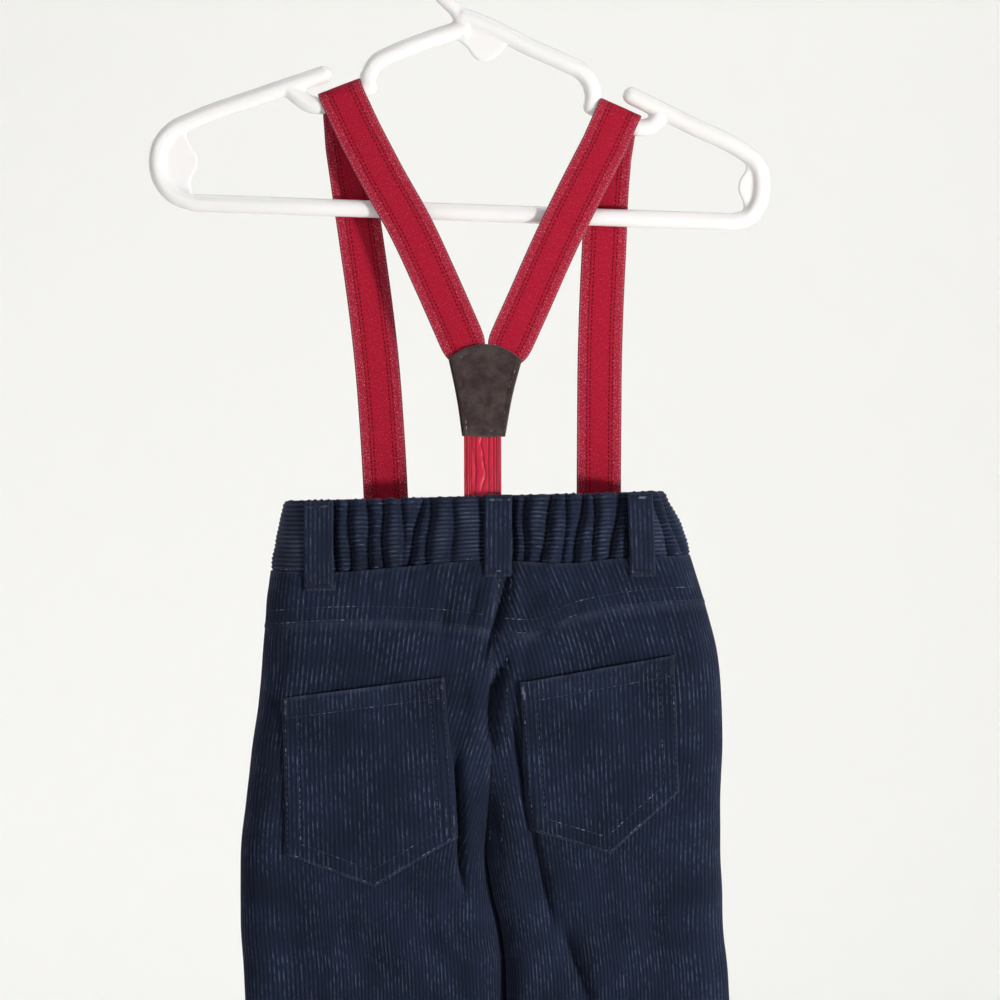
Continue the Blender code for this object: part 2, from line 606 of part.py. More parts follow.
def make_patch(name):
    """A flat suede layer on one side of the strap ends."""
    layer = PATCH_LAYERS[name]
    slope = (layer.foot_y - layer.top_y) / (PATCH_FOOT_Z - PATCH_TOP_Z)
    shape = bmesh.new()
    corners = []
    for corner in PATCH:
        y = layer.top_y + (corner.z - PATCH_TOP_Z) * slope
        corners.append(shape.verts.new((corner.x + layer.shift, y, corner.z)))
    sheet = shape.faces.new(corners)
    grown = bmesh.ops.extrude_face_region(shape, geom=[sheet])
    moved = [piece for piece in grown["geom"] if isinstance(piece, bmesh.types.BMVert)]
    bmesh.ops.translate(shape, verts=moved, vec=(0.0, layer.outward * SUEDE, 0.0))
    return put_in_scene(name, shape, "suede")


# ---------------------------------------------------------------- hanger

def bar_mesh(name, route):
    """A round bar along a route in the hanger's plane, with rounded tips."""
    shape = bmesh.new()
    route = np.asarray(route, float)
    run = np.gradient(route, axis=0)
    run /= np.linalg.norm(run, axis=1, keepdims=True)
    radius = BAR_DIAMETER / 2
    stations = [(spot, heading, radius) for spot, heading in zip(route, run)]
    for reach, size in TIP_RINGS:
        stations.insert(0, (route[0] - run[0] * radius * reach, run[0], radius * size))
        stations.append((route[-1] + run[-1] * radius * reach, run[-1], radius * size))
    rings = []
    for spot, heading, size in stations:
        ring = bmesh.ops.create_circle(shape, segments=BAR_SIDES, radius=size)["verts"]
        sideways = Vector((-heading[1], 0.0, heading[0]))
        for vertex in ring:
            u, v = vertex.co.x, vertex.co.y
            vertex.co = Vector((spot[0], 0.0, spot[1])) + sideways * u + Vector((0.0, v, 0.0))
        rings.append(ring)
    for first, second in zip(rings, rings[1:]):
        for k in range(BAR_SIDES):
            n = (k + 1) % BAR_SIDES
            shape.faces.new((first[k], first[n], second[n], second[k]))
    shape.faces.new(rings[0])
    shape.faces.new(rings[-1])
    return put_in_scene(name, shape, "hanger_plastic")


def plate_mesh(name, outline, thickness):
    shape = bmesh.new()
    corners = [shape.verts.new((x, -thickness / 2, z)) for x, z in outline]
    sheet = shape.faces.new(corners)
    grown = bmesh.ops.extrude_face_region(shape, geom=[sheet])
    moved = [piece for piece in grown["geom"] if isinstance(piece, bmesh.types.BMVert)]
    bmesh.ops.translate(shape, verts=moved, vec=(0.0, thickness, 0.0))
    return put_in_scene(name, shape, "hanger_plastic")


def hook_route():
    centre = np.array([0.0, BAR_DIAMETER / 2 - HOOK_RADIUS])
    turns = np.radians(np.linspace(HOOK_TIP_ANGLE, HOOK_STEM_ANGLE, 19))
    arc = [tuple(centre + HOOK_RADIUS * np.array([math.cos(t), math.sin(t)])) for t in turns]
    return arc + [tuple(spot) for spot in smooth_route(STEM, 5.0)]


def saddle_route(root, notch, inner_bar):
    """The bottom of a notch: straight where the strap lies on it, between its root and the inner bar."""
    lean = math.radians(notch.lean)
    toward = math.copysign(1.0, inner_bar[0][0] - root[0][0])
    along = np.array([math.cos(lean), math.sin(lean)]) * toward
    middle = np.array([notch.x, notch.z])
    straight = [tuple(middle + along * SADDLE_REACH * share) for share in (-1.0, -0.5, 0.0, 0.5, 1.0)]
    return np.concatenate([smooth_route(root + straight[:1], 4.0)[:-1], straight])


def inner_bar_route(saddle, bar):
    """From just past the saddle's end, so that the two bars join in one round elbow."""
    elbow = saddle[-1] + (saddle[-1] - saddle[-2]) * ELBOW_SHARE
    return np.concatenate([elbow[None], smooth_route(bar, 6.0)])


def make_hanger():
    left_saddle = saddle_route(LEFT_SADDLE_ROOT, STRAPS["strap_left"]["notch"], LEFT_INNER_BAR)
    right_saddle = saddle_route(RIGHT_SADDLE_ROOT, STRAPS["strap_right"]["notch"], RIGHT_INNER_BAR)
    frame = np.concatenate([smooth_route(LEFT_FRAME, 9.0), smooth_route(RIGHT_FRAME, 9.0)[::-1]])
    hanger = bar_mesh("hanger", frame)
    helpers = [
        bar_mesh("hanger_left_saddle", left_saddle),
        bar_mesh("hanger_right_saddle", right_saddle),
        bar_mesh("hanger_left_inner", inner_bar_route(left_saddle, LEFT_INNER_BAR)),
        bar_mesh("hanger_right_inner", inner_bar_route(right_saddle, RIGHT_INNER_BAR)),
        bar_mesh("hanger_hook", hook_route()),
        plate_mesh("hanger_neck", NECK_OUTLINE, NECK_PLATE),
        plate_mesh("hanger_left_end", LEFT_END_OUTLINE, END_PLATE),
        plate_mesh("hanger_right_end", RIGHT_END_OUTLINE, END_PLATE),
    ]
    for helper in helpers:
        helper.hide_render = True
        helper.display_type = "WIRE"
        helper.hide_set(True)
        join = hanger.modifiers.new("join " + helper.name, "BOOLEAN")
        join.operation = "UNION"
        join.object = helper
    return hanger


# ---------------------------------------------------------------- the whole garment

def build():
    clear_scene()
    make_hanger()
    yokes = []
    for side in ("left", "right"):
        back = make_panel("back_" + side, side, "back", BACK_FOLDS, YOKE_SEAM, HEM,
                          BACK_COLUMNS, leg_rows(BACK_ROWS))
        yokes.append(make_panel("yoke_" + side, side, "back", BACK_FOLDS, WAIST_SEAM, YOKE_SEAM,
                                BACK_COLUMNS, np.linspace(0.0, 1.0, YOKE_ROWS)))
        make_panel("front_" + side, side, "front", FRONT_FOLDS, WAIST_SEAM, HEM,
                   FRONT_COLUMNS, leg_rows(FRONT_ROWS))
        make_pocket("pocket_" + side, back)
    front_gathers = [Gather(x, x + 1.5, FRONT_GATHER_WIDTH, 1.0) for x in FRONT_GATHERS_AT]
    band = make_waistband("waistband_back", "back", BAND_COLUMNS, GATHERS, GATHER_DEPTH)
    make_waistband("waistband_front", "front", FRONT_BAND_COLUMNS, front_gathers, FRONT_GATHER_DEPTH)
    for loop in LOOPS:
        make_loop(loop, band, yokes)
    for name, strap in STRAPS.items():
        strap_wall(name, strap_stations(strap), STRAP_WIDTH)
    strap_wall("strap_short", smooth_route(SHORT_STRAP, STRAP_STEP), SHORT_STRAP_WIDTH)
    for name in PATCH_LAYERS:
        make_patch(name)


build()
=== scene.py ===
# %% [markdown]
# # Child's corduroy suspender pants on a hanger
# The garment hangs by its two elastic suspenders from the notches of a moulded hanger. It is seen from
# behind: a gathered back waistband, belt loops, a yoke, two patch pockets, and suspenders that meet at a
# suede patch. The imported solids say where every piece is; this script makes the surfaces that the eye
# meets. All the tables below are in millimetres, as a maker would measure the garment.

# %% Load the frame
import math
from collections import namedtuple

import bmesh
import bpy
import numpy as np
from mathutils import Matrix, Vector
from mathutils.bvhtree import BVHTree


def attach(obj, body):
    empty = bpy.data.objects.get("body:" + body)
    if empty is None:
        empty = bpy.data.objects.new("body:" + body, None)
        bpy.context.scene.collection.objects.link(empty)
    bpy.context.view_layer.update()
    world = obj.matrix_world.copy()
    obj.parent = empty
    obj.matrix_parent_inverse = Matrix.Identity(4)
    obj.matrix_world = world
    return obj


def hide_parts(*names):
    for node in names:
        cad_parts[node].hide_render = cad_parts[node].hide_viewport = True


MM = 0.001
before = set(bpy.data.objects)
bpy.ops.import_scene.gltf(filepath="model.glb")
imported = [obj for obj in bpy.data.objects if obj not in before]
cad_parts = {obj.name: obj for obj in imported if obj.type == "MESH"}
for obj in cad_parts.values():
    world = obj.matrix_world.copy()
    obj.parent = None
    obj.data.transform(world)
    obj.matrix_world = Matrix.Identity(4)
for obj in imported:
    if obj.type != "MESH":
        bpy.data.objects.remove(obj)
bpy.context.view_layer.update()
print("solids in the frame:", ", ".join(sorted(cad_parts)))

# %% [markdown]
# ## Camera, floor and light
# The photograph is taken straight on and level, and its frame is half a metre wide at the garment. A long
# lens keeps the hanger's tilt and the straps' lean true. The stage is a round cove: a floor that bends up
# into a wall, spun from one profile, so that every side of the garment has the same pale ground behind it.

# %% Camera
FRAME_MIDDLE = Vector((0.015, -0.012, -0.296))
FRAME_WIDTH = 0.5
CAMERA_DISTANCE = 1.5
SENSOR_WIDTH = 36.0

camera_data = bpy.data.cameras.new("camera")
camera_data.sensor_width = SENSOR_WIDTH
camera_data.lens = SENSOR_WIDTH * CAMERA_DISTANCE / FRAME_WIDTH
camera = bpy.data.objects.new("camera", camera_data)
camera.location = FRAME_MIDDLE + Vector((0.0, -CAMERA_DISTANCE, 0.0))
camera.rotation_euler = (math.radians(90.0), 0.0, 0.0)
bpy.context.scene.collection.objects.link(camera)
bpy.context.scene.camera = camera
bpy.context.scene.view_settings.view_transform = "Standard"
print("lens:", round(camera_data.lens, 1), "mm")

# %% Colours and nodes


def linear(colour):
    """Turns an sRGB hex colour such as #1f2436 into the linear values that shaders use."""
    channels = [int(colour[i:i + 2], 16) / 255 for i in (1, 3, 5)]
    return tuple(c / 12.92 if c <= 0.04045 else ((c + 0.055) / 1.055) ** 2.4 for c in channels) + (1.0,)


def add_node(tree, kind, settings=None, inputs=None):
    """Adds a shader node, sets its own settings, and sets or links its inputs."""
    made = tree.nodes.new("ShaderNode" + kind)
    for name, value in (settings or {}).items():
        setattr(made, name, value)
    for name, value in (inputs or {}).items():
        if isinstance(value, bpy.types.NodeSocket):
            tree.links.new(value, made.inputs[name])
        else:
            made.inputs[name].default_value = value
    return made


def new_material(name, roughness, specular):
    """A material and its Principled shader."""
    material = bpy.data.materials.new(name)
    material.use_nodes = True
    shader = material.node_tree.nodes["Principled BSDF"]
    shader.inputs["Roughness"].default_value = roughness
    shader.inputs["Specular IOR Level"].default_value = specular
    return material, material.node_tree, shader


# %% Stage
FLOOR_Z = -0.80
COVE_RADIUS = 2.6
COVE_BEND = 1.5
COVE_HEIGHT = 2.4
COVE_SIDES = 96
COVE_WELD = 0.0001


def make_cove():
    """Spins the profile of a floor and a wall, joined by a quarter circle, once round."""
    shape = bmesh.new()
    profile = [(0.0, FLOOR_Z), (COVE_RADIUS - COVE_BEND, FLOOR_Z)]
    for turn in np.radians(np.linspace(6.0, 90.0, 15)):
        profile.append((COVE_RADIUS - COVE_BEND + COVE_BEND * math.sin(turn),
                        FLOOR_Z + COVE_BEND * (1 - math.cos(turn))))
    profile.append((COVE_RADIUS, FLOOR_Z + COVE_HEIGHT))
    spots = [shape.verts.new((x, 0.0, z)) for x, z in profile]
    edges = [shape.edges.new(pair) for pair in zip(spots, spots[1:])]
    bmesh.ops.spin(shape, geom=spots + edges, cent=(0, 0, 0), axis=(0, 0, 1), angle=2 * math.pi,
                   steps=COVE_SIDES, use_merge=True)
    bmesh.ops.remove_doubles(shape, verts=shape.verts[:], dist=COVE_WELD)
    bmesh.ops.recalc_face_normals(shape, faces=shape.faces[:])
    bmesh.ops.reverse_faces(shape, faces=shape.faces[:])
    mesh = bpy.data.meshes.new("cove")
    shape.to_mesh(mesh)
    shape.free()
    mesh.shade_smooth()
    return bpy.data.objects.new("cove", mesh)


cove = make_cove()
bpy.context.scene.collection.objects.link(cove)
painted_wall, _, wall_shader = new_material("matt wall paint", 0.9, 0.2)
wall_shader.inputs["Base Color"].default_value = linear("#f3f3f1")
cove.data.materials.append(painted_wall)

# %% Lights
Lamp = namedtuple("Lamp", "name place target size power colour")
LAMPS = [
    Lamp("key", (1.25, -1.25, -0.58), None, 0.16, 29.0, "#fffbf6"),
    Lamp("fill", (-0.5, -1.9, 0.1), None, 0.9, 3.2, "#f4f7ff"),
    Lamp("top", (0.2, -0.3, 1.2), None, 0.8, 3.0, "#ffffff"),
    Lamp("behind", (-1.4, 1.3, 0.7), None, 1.0, 4.5, "#ffffff"),
    Lamp("wall", (0.0, 0.45, 0.9), (0.0, 2.6, -0.4), 1.2, 22.5, "#ffffff"),
]
SKY_STRENGTH = 0.12


def add_lamp(lamp):
    """A square softbox that faces its target, or else the middle of the garment."""
    data = bpy.data.lights.new(lamp.name, "AREA")
    data.size = lamp.size
    data.energy = lamp.power
    data.color = linear(lamp.colour)[:3]
    made = bpy.data.objects.new(lamp.name, data)
    made.location = lamp.place
    target = Vector(lamp.target) if lamp.target else FRAME_MIDDLE
    made.rotation_euler = (target - made.location).to_track_quat("-Z", "Y").to_euler()
    bpy.context.scene.collection.objects.link(made)


for lamp in LAMPS:
    add_lamp(lamp)
world = bpy.data.worlds.new("studio")
world.use_nodes = True
world.node_tree.nodes["Background"].inputs["Color"].default_value = linear("#ffffff")
world.node_tree.nodes["Background"].inputs["Strength"].default_value = SKY_STRENGTH
bpy.context.scene.world = world
print("lamps:", len(LAMPS))

# %% [markdown]
# ## The garment's form
# A pattern cutter drafts trousers from a few girths and heights. The same is done here: each row of the
# table is one level cut through the garment, with its left and right halves, and the form between rows is
# read from a smooth curve. Every cloth piece is a patch of this one form, so all of them fit together.

# %% Sections
SEAM_GAP = 0.3
SEAM_LAP = 0.25
SIDE_ROUND = 17.0
INSEAM_ROUND = 15.0
HEM_Z = -748.0
FACING = {"back": -1.0, "front": 1.0}
TOWARD_CENTRE = {"left": 1.0, "right": -1.0}

Section = namedtuple("Section", "z left left_in right_in right back front parted")
SECTIONS = [
    Section(-288, -92.0, 14.0, 14.0, 96.0, 21.0, 19.0, 0.0),
    Section(-301, -93.8, 14.0, 14.0, 101.5, 21.0, 19.0, 0.0),
    Section(-313, -97.0, 14.0, 14.0, 107.0, 21.0, 19.0, 0.0),
    Section(-331, -100.5, 13.5, 13.5, 113.0, 21.0, 19.0, 0.0),
    Section(-349, -102.5, 12.0, 12.0, 118.5, 20.5, 18.5, 0.0),
    Section(-373, -104.5, 11.0, 11.0, 124.5, 20.0, 18.0, 0.0),
    Section(-397, -106.5, 11.0, 11.0, 126.6, 20.0, 17.5, 0.0),
    Section(-421, -110.0, 10.5, 10.5, 127.0, 19.5, 17.0, 0.06),
    Section(-445, -112.5, 9.5, 9.5, 126.0, 19.0, 16.5, 0.42),
    Section(-460, -114.5, 8.8, 8.8, 126.0, 18.5, 16.0, 0.8),
    Section(-473, -115.5, 7.8, 8.4, 126.0, 18.0, 15.5, 1.0),
    Section(-493, -115.7, 9.5, 11.2, 127.0, 16.5, 15.0, 1.0),
    Section(-512, -115.6, 13.8, 15.8, 127.4, 15.5, 14.5, 1.0),
    Section(-530, -114.3, 15.8, 18.0, 129.5, 15.0, 14.0, 1.0),
    Section(-546, -113.5, 15.6, 18.6, 130.5, 15.0, 14.0, 1.0),
    Section(-600, -111.0, 13.0, 20.6, 131.6, 14.5, 13.5, 1.0),
    Section(-680, -109.0, 8.5, 24.6, 133.2, 14.0, 13.0, 1.0),
    Section(-748, -107.5, 5.0, 28.0, 134.5, 13.5, 12.5, 1.0),
]


def smooth_curve(places, values, wanted):
    """Reads values between their places, along a curve with no kinks."""
    order = np.argsort(places)
    places = np.asarray(places, float)[order]
    values = np.asarray(values, float)[order]
    slopes = np.gradient(values, places)
    wanted = np.clip(np.asarray(wanted, float), places[0], places[-1])
    row = np.clip(np.searchsorted(places, wanted) - 1, 0, len(places) - 2)
    span = places[row + 1] - places[row]
    t = (wanted - places[row]) / span
    return ((2 * t**3 - 3 * t**2 + 1) * values[row] + (t**3 - 2 * t**2 + t) * span * slopes[row]
            + (3 * t**2 - 2 * t**3) * values[row + 1] + (t**3 - t**2) * span * slopes[row + 1])


def section_value(column, z):
    """One column of the table of sections, read at any height."""
    return smooth_curve([row.z for row in SECTIONS], [getattr(row, column) for row in SECTIONS], z)


# %% Half forms
LEVEL_STEP = 1.0
SHARES = np.linspace(0.0, 1.0, 201)
SECTION_POINTS = 241
Form = namedtuple("Form", "z arc x y nx ny")


def round_share(distance, radius):
    """How far a rounded edge has risen at a distance in from it, from 0 to 1."""
    return np.sqrt(1 - (1 - np.clip(distance / radius, 0.0, 1.0)) ** 2)


def make_form(side, face):
    """One quarter of the garment at every millimetre of height, from its side seam to its centre.

    Shares run along the cloth, so the grain keeps its width. The normals are level and point outward."""
    z = np.arange(SECTIONS[0].z + 2.0, HEM_Z - LEVEL_STEP, -LEVEL_STEP)
    outer = section_value(side, z)
    inner = section_value(side + "_in", z)
    parted = np.clip(section_value("parted", z), 0.0, 1.0)[:, None]
    reach = np.abs(inner - outer)[:, None]
    across = (1 - np.cos(np.linspace(0.0, math.pi, SECTION_POINTS))) / 2 * reach
    rise = round_share(across, SIDE_ROUND)
    rise = rise * ((1 - parted) + parted * round_share(reach - across, INSEAM_ROUND))
    out = section_value(face, z)[:, None] * rise
    steps = np.hypot(np.diff(across, axis=1), np.diff(out, axis=1))
    along = np.concatenate([np.zeros((len(z), 1)), np.cumsum(steps, axis=1)], axis=1)
    arc = along[:, -1]
    toward, facing = TOWARD_CENTRE[side], FACING[face]
    x = np.stack([outer[i] + toward * np.interp(SHARES * arc[i], along[i], across[i])
                  for i in range(len(z))])
    y = np.stack([facing * np.interp(SHARES * arc[i], along[i], out[i]) for i in range(len(z))])
    run_x = np.gradient(x, axis=1)
    run_y = np.gradient(y, axis=1)
    length = np.hypot(run_x, run_y)
    turn = toward * facing
    return Form(z, arc, x, y, -run_y / length * turn, run_x / length * turn)


FORMS = {(side, face): make_form(side, face) for side in ("left", "right") for face in ("back", "front")}


def row_of(form, z):
    """The form's row above each height, and how far the height is past it."""
    row = np.clip((form.z[0] - z) / LEVEL_STEP, 0, len(form.z) - 1.001)
    return row.astype(int), row - row.astype(int)


def read_form(form, z, share):
    """x, y, normal x and normal y of a form, at any heights and shares of the way across."""
    i, down = row_of(form, z)
    column = np.clip(share, 0.0, 1.0) * (len(SHARES) - 1.001)
    j = column.astype(int)
    past = column - j
    found = []
    for table in (form.x, form.y, form.nx, form.ny):
        upper = table[i, j] * (1 - past) + table[i, j + 1] * past
        lower = table[i + 1, j] * (1 - past) + table[i + 1, j + 1] * past
        found.append(upper * (1 - down) + lower * down)
    return found


hips = FORMS["left", "back"].arc.max() + FORMS["right", "back"].arc.max()
print("widest girth:", round(2 * hips), "mm")

# %% [markdown]
# ## Seams, gathers and folds
# A crease is given as a route that is seen from behind, a width and a depth. Its cross-section is a
# soft bell, and it fades at both ends. Troughs have a positive depth and ridges a negative one. The main
# ones repeat those of the solids; the finer ones are added here.

# %% Seam lines
Level = namedtuple("Level", "x z")
WAIST_TOP = [Level(-100, -296.6), Level(0, -294.0), Level(100, -291.4)]
WAIST_SEAM = [Level(-105, -331.6), Level(-66, -332.2), Level(-33, -329.5), Level(8, -326.4),
              Level(55, -327.4), Level(71, -325.6), Level(120, -323.4)]
YOKE_SEAM = [Level(-110, -360.0), Level(-69, -357.2), Level(-27, -357.6), Level(0, -360.0),
             Level(20, -363.0), Level(34, -363.0), Level(50, -355.5), Level(68, -351.2),
             Level(102, -347.6), Level(130, -347.0)]
HEM = [Level(-120, -748.0), Level(140, -748.0)]


def level(rows, x):
    """The height of a seam line above any place across the garment."""
    return smooth_curve([row.x for row in rows], [row.z for row in rows], x)


# %% Gathers and folds
BAND_HEIGHT = 36.0
Gather = namedtuple("Gather", "top foot width depth")
GATHERS = [
    Gather(-68.0, -67.0, 2.4, 1.0), Gather(-60.5, -59.5, 2.8, 0.9), Gather(-51.0, -50.0, 3.0, 1.0),
    Gather(-43.5, -43.0, 2.6, 1.0), Gather(-33.5, -33.0, 2.6, 0.6),
    Gather(-23.5, -31.0, 3.0, 1.1), Gather(-19.0, -22.0, 2.8, 0.9), Gather(-8.0, -9.0, 3.2, 0.5),
    Gather(5.5, 7.0, 2.4, 0.4), Gather(21.5, 21.5, 2.6, 1.0), Gather(27.5, 27.0, 2.8, 0.9),
    Gather(41.0, 35.0, 3.0, 1.1), Gather(48.5, 46.0, 2.4, 0.6), Gather(56.5, 51.5, 2.8, 1.1),
    Gather(62.0, 61.5, 2.4, 0.8), Gather(75.0, 69.5, 2.8, 1.1), Gather(79.0, 79.0, 2.6, 0.8),
    Gather(91.5, 100.5, 2.2, 0.7), Gather(96.0, 107.0, 2.0, 0.5),
]
FRONT_GATHERS = [Gather(x, x + 1.5, 5.0, 0.3)
                 for x in (-78.0, -54.8, -36.1, -17.2, 5.6, 22.1, 42.9, 66.0, 81.3)]

Fold = namedtuple("Fold", "route width depth")
BACK_FOLDS = [
    Fold([(20.5, -328), (17, -343), (12, -360), (6, -374)], 4.0, 2.6),
    Fold([(20.5, -372), (16, -380), (12, -388), (10.3, -400), (10.3, -420)], 4.2, 3.2),
    Fold([(46, -334), (35, -343), (28, -350), (24, -356)], 4.5, 2.2),
    Fold([(40, -359), (31, -366), (26.5, -376), (25, -385)], 3.2, 2.4),
    Fold([(66, -352), (50, -357), (38, -362)], 3.5, 1.0),
    Fold([(-11, -338), (-12, -350), (-14, -366)], 4.0, 2.0),
    Fold([(21.5, -331), (23.5, -344), (24.5, -354)], 2.6, -1.8),
    Fold([(17, -384), (20, -402), (23, -420), (27, -446)], 3.0, -1.8),
    Fold([(0.5, -372), (2, -390), (2.5, -410), (0, -430)], 3.4, -1.7),
    Fold([(19, -398), (23, -418), (27, -442), (30, -466)], 3.6, 2.4),
    Fold([(-8, -414), (-7, -446), (-5, -468), (-3, -492)], 4.0, 3.2),
    Fold([(30, -462), (37, -492), (42, -508)], 5.0, 2.8),
    Fold([(44, -506), (52, -526), (60, -548), (68, -580)], 5.5, 3.6),
    Fold([(50, -473), (56, -498), (66, -546), (72, -572)], 6.5, -2.6),
    Fold([(-18, -494), (-14, -510), (-6, -520), (10, -526)], 4.0, -3.4),
    Fold([(60, -334), (48, -343)], 4.0, 1.4),
    Fold([(-96, -600), (-60, -611), (-20, -604)], 8.0, 1.9),
    Fold([(-70, -640), (-44, -652), (-12, -648)], 8.0, 1.7),
    Fold([(36, -616), (70, -628), (118, -618)], 8.0, 1.9),
    Fold([(48, -662), (84, -670), (120, -660)], 8.0, 1.6),
]
BACK_CREASES = [
    Fold([(20.5, -328), (17, -343), (12, -360), (6, -374)], 1.9, 5.0),
    Fold([(20.5, -373), (15.5, -381), (11.5, -390), (10.3, -402), (10.3, -418)], 2.3, 7.0),
    Fold([(4, -338), (1, -350), (-3, -360)], 2.2, 1.8),
    Fold([(-13, -348), (-14, -360)], 2.0, 1.4),
    Fold([(-48, -338), (-44, -352)], 3.0, -0.8),
    Fold([(-90, -366), (-96, -384), (-98, -404)], 3.0, 1.4),
    Fold([(20, -396), (24, -420), (28.5, -446), (33, -470)], 1.9, 5.0),
    Fold([(11, -446), (14, -462), (15, -478)], 2.2, 1.8),
    Fold([(-7.5, -424), (-6.4, -446), (-4.6, -466), (-2.6, -492)], 2.4, 7.5),
    Fold([(32, -468), (37, -486), (41, -506)], 2.0, 4.2),
    Fold([(46, -510), (53, -528), (60, -546)], 2.2, 3.4),
    Fold([(56, -348), (50, -354)], 2.2, 1.3),
    Fold([(-40, -500), (-52, -524), (-58, -548)], 6.0, 1.6),
    Fold([(84, -484), (92, -512), (96, -545)], 6.0, 1.5),
    Fold([(-86, -498), (-90, -530), (-88, -570)], 5.0, 1.5),
    Fold([(-64, -504), (-70, -530), (-70, -556)], 4.0, -1.1),
    Fold([(62, -490), (72, -520), (78, -552)], 4.0, -1.1),
    Fold([(112, -380), (116, -410), (116, -440)], 5.0, 1.4),
    Fold([(108, -360), (96, -366), (84, -367)], 4.0, 1.0),
]
FRONT_FOLDS = [
    Fold([(-34, -418), (-14, -436), (4, -452)], 6.0, 1.8),
    Fold([(54, -416), (36, -436), (18, -452)], 6.0, 1.8),
    Fold([(-88, -392), (-66, -404), (-44, -408)], 7.0, 1.4),
    Fold([(110, -388), (88, -400), (64, -404)], 7.0, 1.4),
    Fold([(-12, -486), (-26, -512), (-32, -548)], 6.0, 1.8),
    Fold([(34, -486), (46, -516), (50, -552)], 6.0, 1.8),
    Fold([(-92, -606), (-58, -616), (-18, -608)], 8.0, 1.6),
    Fold([(34, -610), (72, -622), (120, -614)], 8.0, 1.6),
]
FRONT_CREASES = [
    Fold([(-26, -426), (-10, -438), (3, -448)], 2.6, 1.0),
    Fold([(46, -424), (32, -438), (20, -449)], 2.6, 1.0),
    Fold([(-16, -494), (-26, -514), (-30, -538)], 2.6, 0.9),
    Fold([(37, -494), (45, -516), (49, -540)], 2.6, 0.9),
    Fold([(-60, -340), (-56, -366)], 5.0, 0.5),
    Fold([(70, -338), (66, -364)], 5.0, 0.5),
]
FOLD_STEP = 6.0
FOLD_END = 0.02


def run_along(points):
    """How far along a route each of its points is."""
    steps = np.linalg.norm(np.diff(points, axis=0), axis=1)
    return np.concatenate([[0.0], np.cumsum(steps)])


def smooth_route(points, spacing):
    """A curve through given points, with a point about every `spacing` millimetres."""
    points = np.array(points, float)
    along = run_along(points)
    wanted = np.linspace(0.0, along[-1], max(2, int(round(along[-1] / spacing)) + 1))
    return np.stack([smooth_curve(along, column, wanted) for column in points.T], axis=-1)


def fold_relief(folds, x, z):
    """How far the folds push the cloth inward at places seen from behind."""
    relief = np.zeros_like(x)
    for fold in folds:
        route = smooth_route(fold.route, FOLD_STEP)
        runs = np.diff(route, axis=0)
        nearest = np.full(relief.shape, np.inf)
        share = np.zeros_like(relief)
        for number, (start, run) in enumerate(zip(route, runs)):
            t = ((x - start[0]) * run[0] + (z - start[1]) * run[1]) / (run @ run)
            held = np.clip(t, 0.0, 1.0)
            away = np.hypot(x - start[0] - held * run[0], z - start[1] - held * run[1])
            closer = away < nearest
            nearest = np.where(closer, away, nearest)
            share = np.where(closer, (number + held) / len(runs), share)
        fade = np.sqrt(np.sin(math.pi * np.clip(share, FOLD_END, 1 - FOLD_END)))
        relief += fold.depth * fade * np.exp(-((nearest / fold.width) ** 2))
    return relief


def ripple(x, z, size, seed):
    """A gentle unevenness from -1 to 1, with bumps of about the size given."""
    turns = np.array([0.3, 1.7, 2.6, 4.1]) + seed
    waves = [np.sin((x * math.cos(t) + z * math.sin(t)) * 2 * math.pi / (size * (1.1 + 0.5 * math.sin(3 * t)))
                    + 5.0 * t) for t in turns]
    return sum(waves) / len(waves)


GATHER_TAIL = 13.0
GATHER_TAIL_DEPTH = 0.8
UNEVEN = 0.35


def back_relief(x, z):
    """Folds, creases and the tails of the waistband's gathers, on the back."""
    relief = fold_relief(BACK_FOLDS + BACK_CREASES, x, z)
    below = np.clip(level(WAIST_SEAM, x) - z, 0.0, None)
    tail = np.exp(-((below / GATHER_TAIL) ** 2))
    for gather in GATHERS:
        relief += gather.depth * GATHER_TAIL_DEPTH * tail * np.exp(-(((x - gather.foot) / gather.width) ** 2))
    return relief + UNEVEN * ripple(x, z, 38.0, 0.0) + UNEVEN * 0.5 * ripple(x, z, 15.0, 2.0)


def front_relief(x, z):
    """The plainer folds of the hidden front."""
    return fold_relief(FRONT_FOLDS + FRONT_CREASES, x, z) + UNEVEN * ripple(x, z, 40.0, 1.0)


RELIEF = {"back": back_relief, "front": front_relief}
print("folds:", len(BACK_FOLDS + BACK_CREASES + FRONT_FOLDS + FRONT_CREASES), "gathers:", len(GATHERS))

# %% [markdown]
# ## Corduroy
# Corduroy is a cut-pile cotton with a raised cord, called a wale, about every 2.3 mm here. The wales could be
# a bump in the material, but on real cloth they make the outline of every fold, so they are modelled: the
# grid of a panel has four columns of points to a wale, and each column keeps its own wale from top to
# bottom. On the seat the wales lean together towards the centre seam, because that seam is cut on a slant.

# %% Wales
WALE = 2.25
PILE = 0.34
WALE_PROFILE = np.array([1.0, 0.68, 0.0, 0.68])
QUARTER = WALE / len(WALE_PROFILE)

# How far the cut of the centre seam has shifted the wales next to it, at each height.
Chevron = namedtuple("Chevron", "z shift")
BACK_CHEVRON = [Chevron(-325, -12.0), Chevron(-357, -9.0), Chevron(-397, -4.0), Chevron(-435, 5.0),
                Chevron(-473, 18.0), Chevron(-505, 24.0), Chevron(-560, 25.0), Chevron(-748, 25.0)]
FRONT_CHEVRON = [Chevron(-325, -5.0), Chevron(-400, -2.0), Chevron(-450, 3.0), Chevron(-480, 8.0),
                 Chevron(-560, 9.0), Chevron(-748, 9.0)]
CHEVRONS = {"back": BACK_CHEVRON, "front": FRONT_CHEVRON}
CHEVRON_REACH = 100.0
SEAM_ROUNDS = 6


